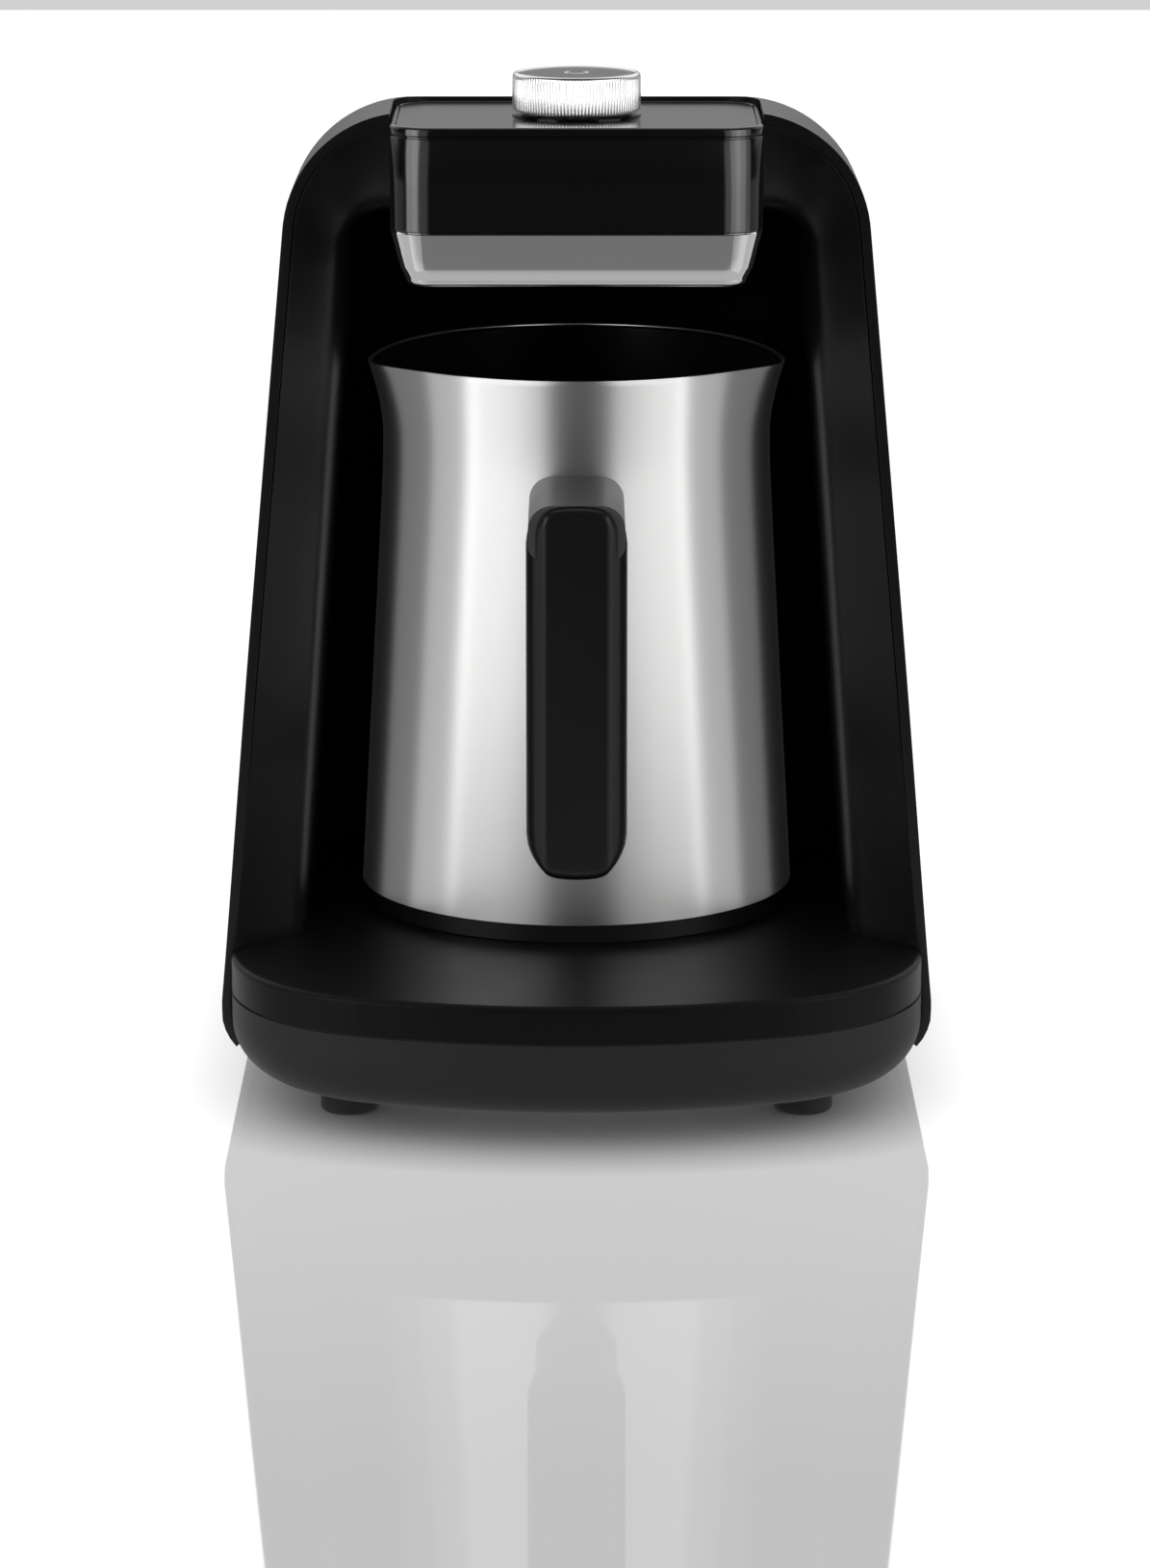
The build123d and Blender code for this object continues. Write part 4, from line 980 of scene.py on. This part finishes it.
# %% The numbers of each finish: two colours, roughness and its wander, metal or not, and the rest
METAL = 1.0
finish_rows = [
    ("casing_black", 0.005, 0.0065, 0.34, 0.03, 0.0, {"bump": 0.07, "mirroring": 0.42}),
    ("base_grey", 0.014, 0.017, 0.58, 0.03, 0.0, {"bump": 0.14, "mirroring": 0.38}),
    ("gloss_black", 0.0015, 0.0022, 0.14, 0.015, 0.0,
     {"scales": (900.0, 9.0), "bump": 0.004, "mirroring": 0.42}),
    ("rubber_black", 0.012, 0.018, 0.72, 0.06, 0.0, {"scales": (2600.0, 40.0), "bump": 0.22}),
    ("bright_chrome", 0.84, 0.80, 0.06, 0.015, METAL, {"scales": (700.0, 14.0), "bump": 0.003}),
    ("satin_silver", 0.86, 0.80, 0.22, 0.04, METAL, {"scales": (2200.0, 30.0), "bump": 0.02}),
    ("pot_steel", (0.66, 0.66, 0.655), (0.67, 0.67, 0.665), 0.28, 0.003, METAL,
     {"group": brush_group, "scales": (1400.0, 900.0), "bump": 0.0015}),
    ("bracket_grey", 0.060, 0.070, 0.40, 0.04, 0.0, {"bump": 0.08}),
    ("heater_aluminium", 0.55, 0.65, 0.42, 0.08, METAL, {"bump": 0.1}),
    ("bracket_steel", 0.45, 0.52, 0.40, 0.08, METAL, {"bump": 0.08}),
    ("screw_steel", 0.42, 0.50, 0.34, 0.06, METAL, {"bump": 0.05}),
    ("contact_brass", (0.62, 0.44, 0.17), (0.70, 0.50, 0.22), 0.28, 0.05, METAL, {"bump": 0.03}),
    ("circuit_board", (0.012, 0.10, 0.035), (0.016, 0.13, 0.045), 0.35, 0.05, 0.0, {"bump": 0.05}),
    ("board_parts", 0.02, 0.04, 0.45, 0.06, 0.0, {"bump": 0.08}),
    ("transformer_core", (0.16, 0.13, 0.10), (0.20, 0.17, 0.13), 0.5, 0.08, 0.0, {"bump": 0.1}),
    ("electrical_plastic", (0.16, 0.18, 0.20), (0.20, 0.22, 0.24), 0.45, 0.05, 0.0,
     {"bump": 0.06}),
    ("light_pipe", 0.72, 0.80, 0.30, 0.04, 0.0, {"bump": 0.02}),
]
finishes = {row[0]: finish(*row[:-1], **row[-1]) for row in finish_rows}
coat_finish = finish(
    "nonstick_coat", 0.006, 0.011, 0.36, 0.05, scales=(3200.0, 60.0), bump=0.10
)
platform_finish = finish(
    "platform_black", 0.004, 0.0055, 0.44, 0.03, bump=0.08, mirroring=0.14
)
print(len(finishes), "finishes for", len(set(slot_of.values())), "slots")

# %% Give every node and piece its finish
for node, thing in frame["nodes"].items():
    thing.data.materials.clear()
    thing.data.materials.append(finishes[slot_of[node]])
pieces = [thing for thing in bpy.context.scene.objects if "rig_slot" in thing]
for thing in pieces:
    thing.data.materials.clear()
    thing.data.materials.append(finishes[thing["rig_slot"]])
coat.data.materials[0] = coat_finish
grip_face.data.materials[0] = platform_finish
frame["nodes"]["base_upper"].data.materials[0] = platform_finish
# The knob's trim ring gets gloss black instead of its own finish: painted shade, a dark ring that
# stands for the thin shadow line under the knob.
frame["nodes"]["knob_trim_ring"].data.materials[0] = finishes["gloss_black"]
print("pieces:", sorted(thing.name for thing in pieces))

# %% [markdown]
# ## Floor and surroundings
# The machine stands on a glossy white table in a white studio. The floor is mostly its own pale
# glow, with a small share of mirror. A bright lamp behind the machine reaches the floor alone, so
# that the mirror is white where it shows the lamp and pale grey where it shows the machine. The
# glow carries a painted contact shadow where the floor is near the machine, and is weaker in what
# other surfaces mirror.

# %% The floor
floor_mesh = bpy.data.meshes.new("floor")
floor_mesh.from_pydata([(-4, -4, 0), (4, -4, 0), (4, 6, 0), (-4, 6, 0)], [], [(0, 1, 2, 3)])
floor_piece = bpy.data.objects.new("floor", floor_mesh)
bpy.context.scene.collection.objects.link(floor_piece)
floor_material = bpy.data.materials.new("white_table")
floor_material.use_nodes = True
floor_mesh.materials.append(floor_material)
tree = floor_material.node_tree
tree.nodes.clear()
path = add(tree, "LightPath")
floor_place = add(tree, "TexCoord")
floor_parts = add(tree, "SeparateXYZ", Vector=floor_place.outputs["Object"])

# %% The glow that mirrors see: four steps from the front to the machine
along_floor = ranged(tree, floor_parts.outputs["Y"], -0.60, -0.10)
near_machine = add(tree, "ValToRGB", Fac=along_floor)
near_machine.color_ramp.interpolation = "EASE"
steps = near_machine.color_ramp.elements
steps[0].position, steps[0].color = 0.12, (0.0, 0.0, 0.0, 1.0)
steps[1].position, steps[1].color = 0.82, (0.50, 0.50, 0.50, 1.0)
for position, value in ((0.26, 0.132), (0.56, 0.15)):
    step = steps.new(position)
    step.color = (value, value, value, 1.0)
mirrored_glow = worked_out(
    tree, "MULTIPLY", in_mirrors(tree, path), near_machine.outputs["Color"]
)

# %% The glow that the camera sees, with a painted contact shadow close to the machine
seen_glow = ranged(tree, floor_parts.outputs["Y"], -0.34, -0.12, 0.53, 0.63)
# Painted contact shadow: occlusion darkens the floor's glow under and beside the machine, only within
# about 0.22 to 0.30 m of the middle.
painted_contact_shade = add(tree, "AmbientOcclusion", {"samples": 12}, Distance=0.024)
from_middle = add(tree, "VectorMath", {"operation": "LENGTH"})
tree.links.new(floor_place.outputs["Object"], from_middle.inputs[0])
far_off = ranged(tree, from_middle.outputs["Value"], 0.22, 0.30)
painted_shade_near_machine = worked_out(tree, "MAXIMUM", painted_contact_shade.outputs["AO"], far_off)
shaded_glow = worked_out(tree, "MULTIPLY", seen_glow, painted_shade_near_machine)
glow_level = add(
    tree, "Mix", Factor=path.outputs["Is Camera Ray"], A=mirrored_glow, B=shaded_glow
)

# %% Glow, a little plain white, and the share of mirror
MIRROR_SHARE = 0.105
glow = add(tree, "Emission", Strength=glow_level.outputs["Result"])
plain = add(tree, "BsdfDiffuse", Color=coloured(0.06))
both = add(tree, "AddShader")
tree.links.new(glow.outputs["Emission"], both.inputs[0])
tree.links.new(plain.outputs["BSDF"], both.inputs[1])
mirror = add(tree, "BsdfGlossy", Color=coloured(1.0), Roughness=0.03)
blend = add(tree, "MixShader", Fac=MIRROR_SHARE)
tree.links.new(both.outputs["Shader"], blend.inputs[1])
tree.links.new(mirror.outputs["BSDF"], blend.inputs[2])
add(tree, "OutputMaterial", Surface=blend.outputs["Shader"])

# %% The surroundings: white to the camera, and to mirrors brighter behind and higher up
world = bpy.data.worlds.new("studio")
bpy.context.scene.world = world
world.use_nodes = True
tree = world.node_tree
background = tree.nodes["Background"]
background.inputs["Color"].default_value = coloured(1.0)
path = add(tree, "LightPath")
direction = add(tree, "TexCoord")
parts = add(tree, "SeparateXYZ", Vector=direction.outputs["Generated"])
behind = ranged(tree, parts.outputs["Y"], 0.05, 0.55, 0.02, 1.0, "SMOOTHSTEP")
higher = ranged(tree, parts.outputs["Z"], 0.15, 0.24, 0.38, 1.0, "SMOOTHSTEP")
backdrop = worked_out(tree, "MULTIPLY", behind, higher)
soft_level = add(tree, "Mix", Factor=in_mirrors(tree, path), A=0.65, B=backdrop)
level = add(
    tree, "Mix", Factor=path.outputs["Is Camera Ray"], A=soft_level.outputs["Result"], B=1.0
)
tree.links.new(level.outputs["Result"], background.inputs["Strength"])

# %% [markdown]
# ## Lamps and camera
# Soft lamps stand at the front left and right. A round pot shows each as a bright upright band, with
# a dark stripe between them where it mirrors the gap. Pot, head, chrome band, knob and floor have
# lamps of their own, each of which reaches that part alone, as flags do in a studio.


# %% Soft lamps
def area_lamp(name, place, turned, width, height, brightness):
    """An area lamp as bright whatever its size, which the camera doesn't see."""
    light = bpy.data.lights.new(name, "AREA")
    light.shape = "RECTANGLE"
    light.size, light.size_y = width, height
    light.energy = brightness * math.pi * light.size * light.size_y
    lamp = bpy.data.objects.new(name, light)
    bpy.context.scene.collection.objects.link(lamp)
    lamp.location = place
    lamp.rotation_euler = turned
    lamp.visible_camera = False
    return lamp


def soft_lamp(name, place, target, width, height, brightness):
    """An area lamp that shines from a place to a target."""
    away = np.array(target) - np.array(place)
    tip = math.atan2(math.hypot(away[0], away[1]), -away[2])
    turned = (tip, 0.0, math.atan2(-away[0], away[1]))
    return area_lamp(name, place, turned, width, height, brightness)


def around_machine(azimuth, distance, height):
    """A place at an angle from the front, to the right."""
    turn = math.radians(azimuth)
    return (distance * math.sin(turn), 0.015 - distance * math.cos(turn), height)


AIM = (0.0, 0.0, 0.14)
FAR, NEAR = 1.25, 0.58
# name, angle from the front, distance and height of its middle, width, height, brightness
lamp_rows = [
    ("left_lamp", -52, FAR, 0.40, 0.80, 1.1, 1.9),
    ("right_lamp", 60, FAR, 0.40, 1.00, 1.1, 1.6),
    ("head_left_lamp", -54, FAR, 0.40, 0.75, 1.1, 3.3),
    ("head_left_edge", -32, FAR, 0.40, 0.95, 1.1, 1.1),
    ("head_right_lamp", 46, FAR, 0.40, 0.95, 1.1, 2.6),
    ("head_right_edge", 31, FAR, 0.40, 0.95, 1.1, 1.6),
    ("band_left_lamp", -50, FAR, 0.40, 1.80, 1.1, 0.78),
    ("band_right_lamp", 50, FAR, 0.40, 1.80, 1.1, 0.55),
    ("knob_left_lamp", -48, FAR, 0.40, 1.40, 1.0, 2.3),
    ("knob_right_lamp", 48, FAR, 0.40, 1.40, 1.0, 2.2),
    ("knob_front_lamp", 0, 1.9, 0.40, 1.60, 1.2, 1.9),
    ("pot_left_wide", -58, NEAR, 0.28, 1.09, 0.58, 0.46),
    ("pot_left_main", -45, NEAR, 0.28, 0.70, 0.58, 0.92),
    ("pot_right_wide", 62, NEAR, 0.28, 1.14, 0.58, 0.48),
    ("pot_right_main", 50, NEAR, 0.28, 0.75, 0.58, 0.74),
]
lamps = {}
for name, azimuth, distance, middle, width, height, brightness in lamp_rows:
    place = around_machine(azimuth, distance, middle)
    lamps[name] = soft_lamp(name, place, AIM, width, height, brightness)
lamps["top_lamp"] = soft_lamp("top_lamp", (0.0, 0.1, 1.5), AIM, 1.2, 0.9, 1.1)
lamps["floor_lamp"] = soft_lamp(
    "floor_lamp", (0.0, 3.0, 1.1), (0.0, 0.0, 1.1), 7.0, 2.2, 3.6
)

# %% Small cards inside the bay, which light the pot's flanks
CARD_X, CARD_Z, CARD_TALL = 0.0645, 0.112, 0.150
card_rows = [
    ("left_card_front", -1, -0.048, -0.018, 0.62),
    ("left_card_back", -1, -0.018, 0.004, 0.22),
    ("right_card_front", 1, -0.048, -0.018, 0.58),
    ("right_card_back", 1, -0.018, 0.004, 0.20),
]
for name, side, front, back, brightness in card_rows:
    place = (side * CARD_X, (front + back) / 2, CARD_Z)
    turned = (0.0, side * (math.pi / 2 - math.atan(BAY_LEAN)), 0.0)
    lamps[name] = area_lamp(name, place, turned, CARD_TALL, back - front, brightness)
print(len(lamps), "lamps")


# %% Flags: which lamp reaches which piece
def piece_group(name, things, state="INCLUDE"):
    """A collection that names pieces for a lamp to reach, or to leave out."""
    group = bpy.data.collections.new(name)
    for thing in things:
        group.objects.link(thing)
    for entry in group.collection_objects:
        entry.light_linking.link_state = state
    return group


pot_parts = piece_group("pot_parts", [pot_wall, grip, grip_face, upper_arm, lower_arm])
reached = {
    "head": piece_group("only_head", [head_wall, head_trim]),
    "band": piece_group("only_band", [chrome_skirt]),
    "knob": piece_group("only_knob", [knob_drum]),
    "pot": piece_group("only_pot", [pot_wall]),
    "floor": piece_group("only_floor", [floor_piece]),
}
all_others = piece_group("all_others", [pot_wall, chrome_skirt, knob_drum], "EXCLUDE")
for name, lamp in lamps.items():
    part = "pot" if "card" in name else name.split("_")[0]
    lamp.light_linking.receiver_collection = reached.get(part, all_others)
    if part == "pot" and "card" not in name:
        lamp.light_linking.blocker_collection = pot_parts

# %% Camera
CAMERA_PLACE = (-0.0004, -1.4624, 0.4089)
SENSOR, FOCAL_LENGTHS, DOWN = 36, 5900 / 1630, 13
camera_data = bpy.data.cameras.new("camera")
camera_data.sensor_width = SENSOR
camera_data.lens = FOCAL_LENGTHS * SENSOR
camera_data.clip_end = 100
camera = bpy.data.objects.new("camera", camera_data)
camera.location = CAMERA_PLACE
camera.rotation_euler = (math.radians(90 - DOWN), 0, 0)
bpy.context.scene.collection.objects.link(camera)
bpy.context.scene.camera = camera
bpy.context.scene.view_settings.view_transform = "Standard"
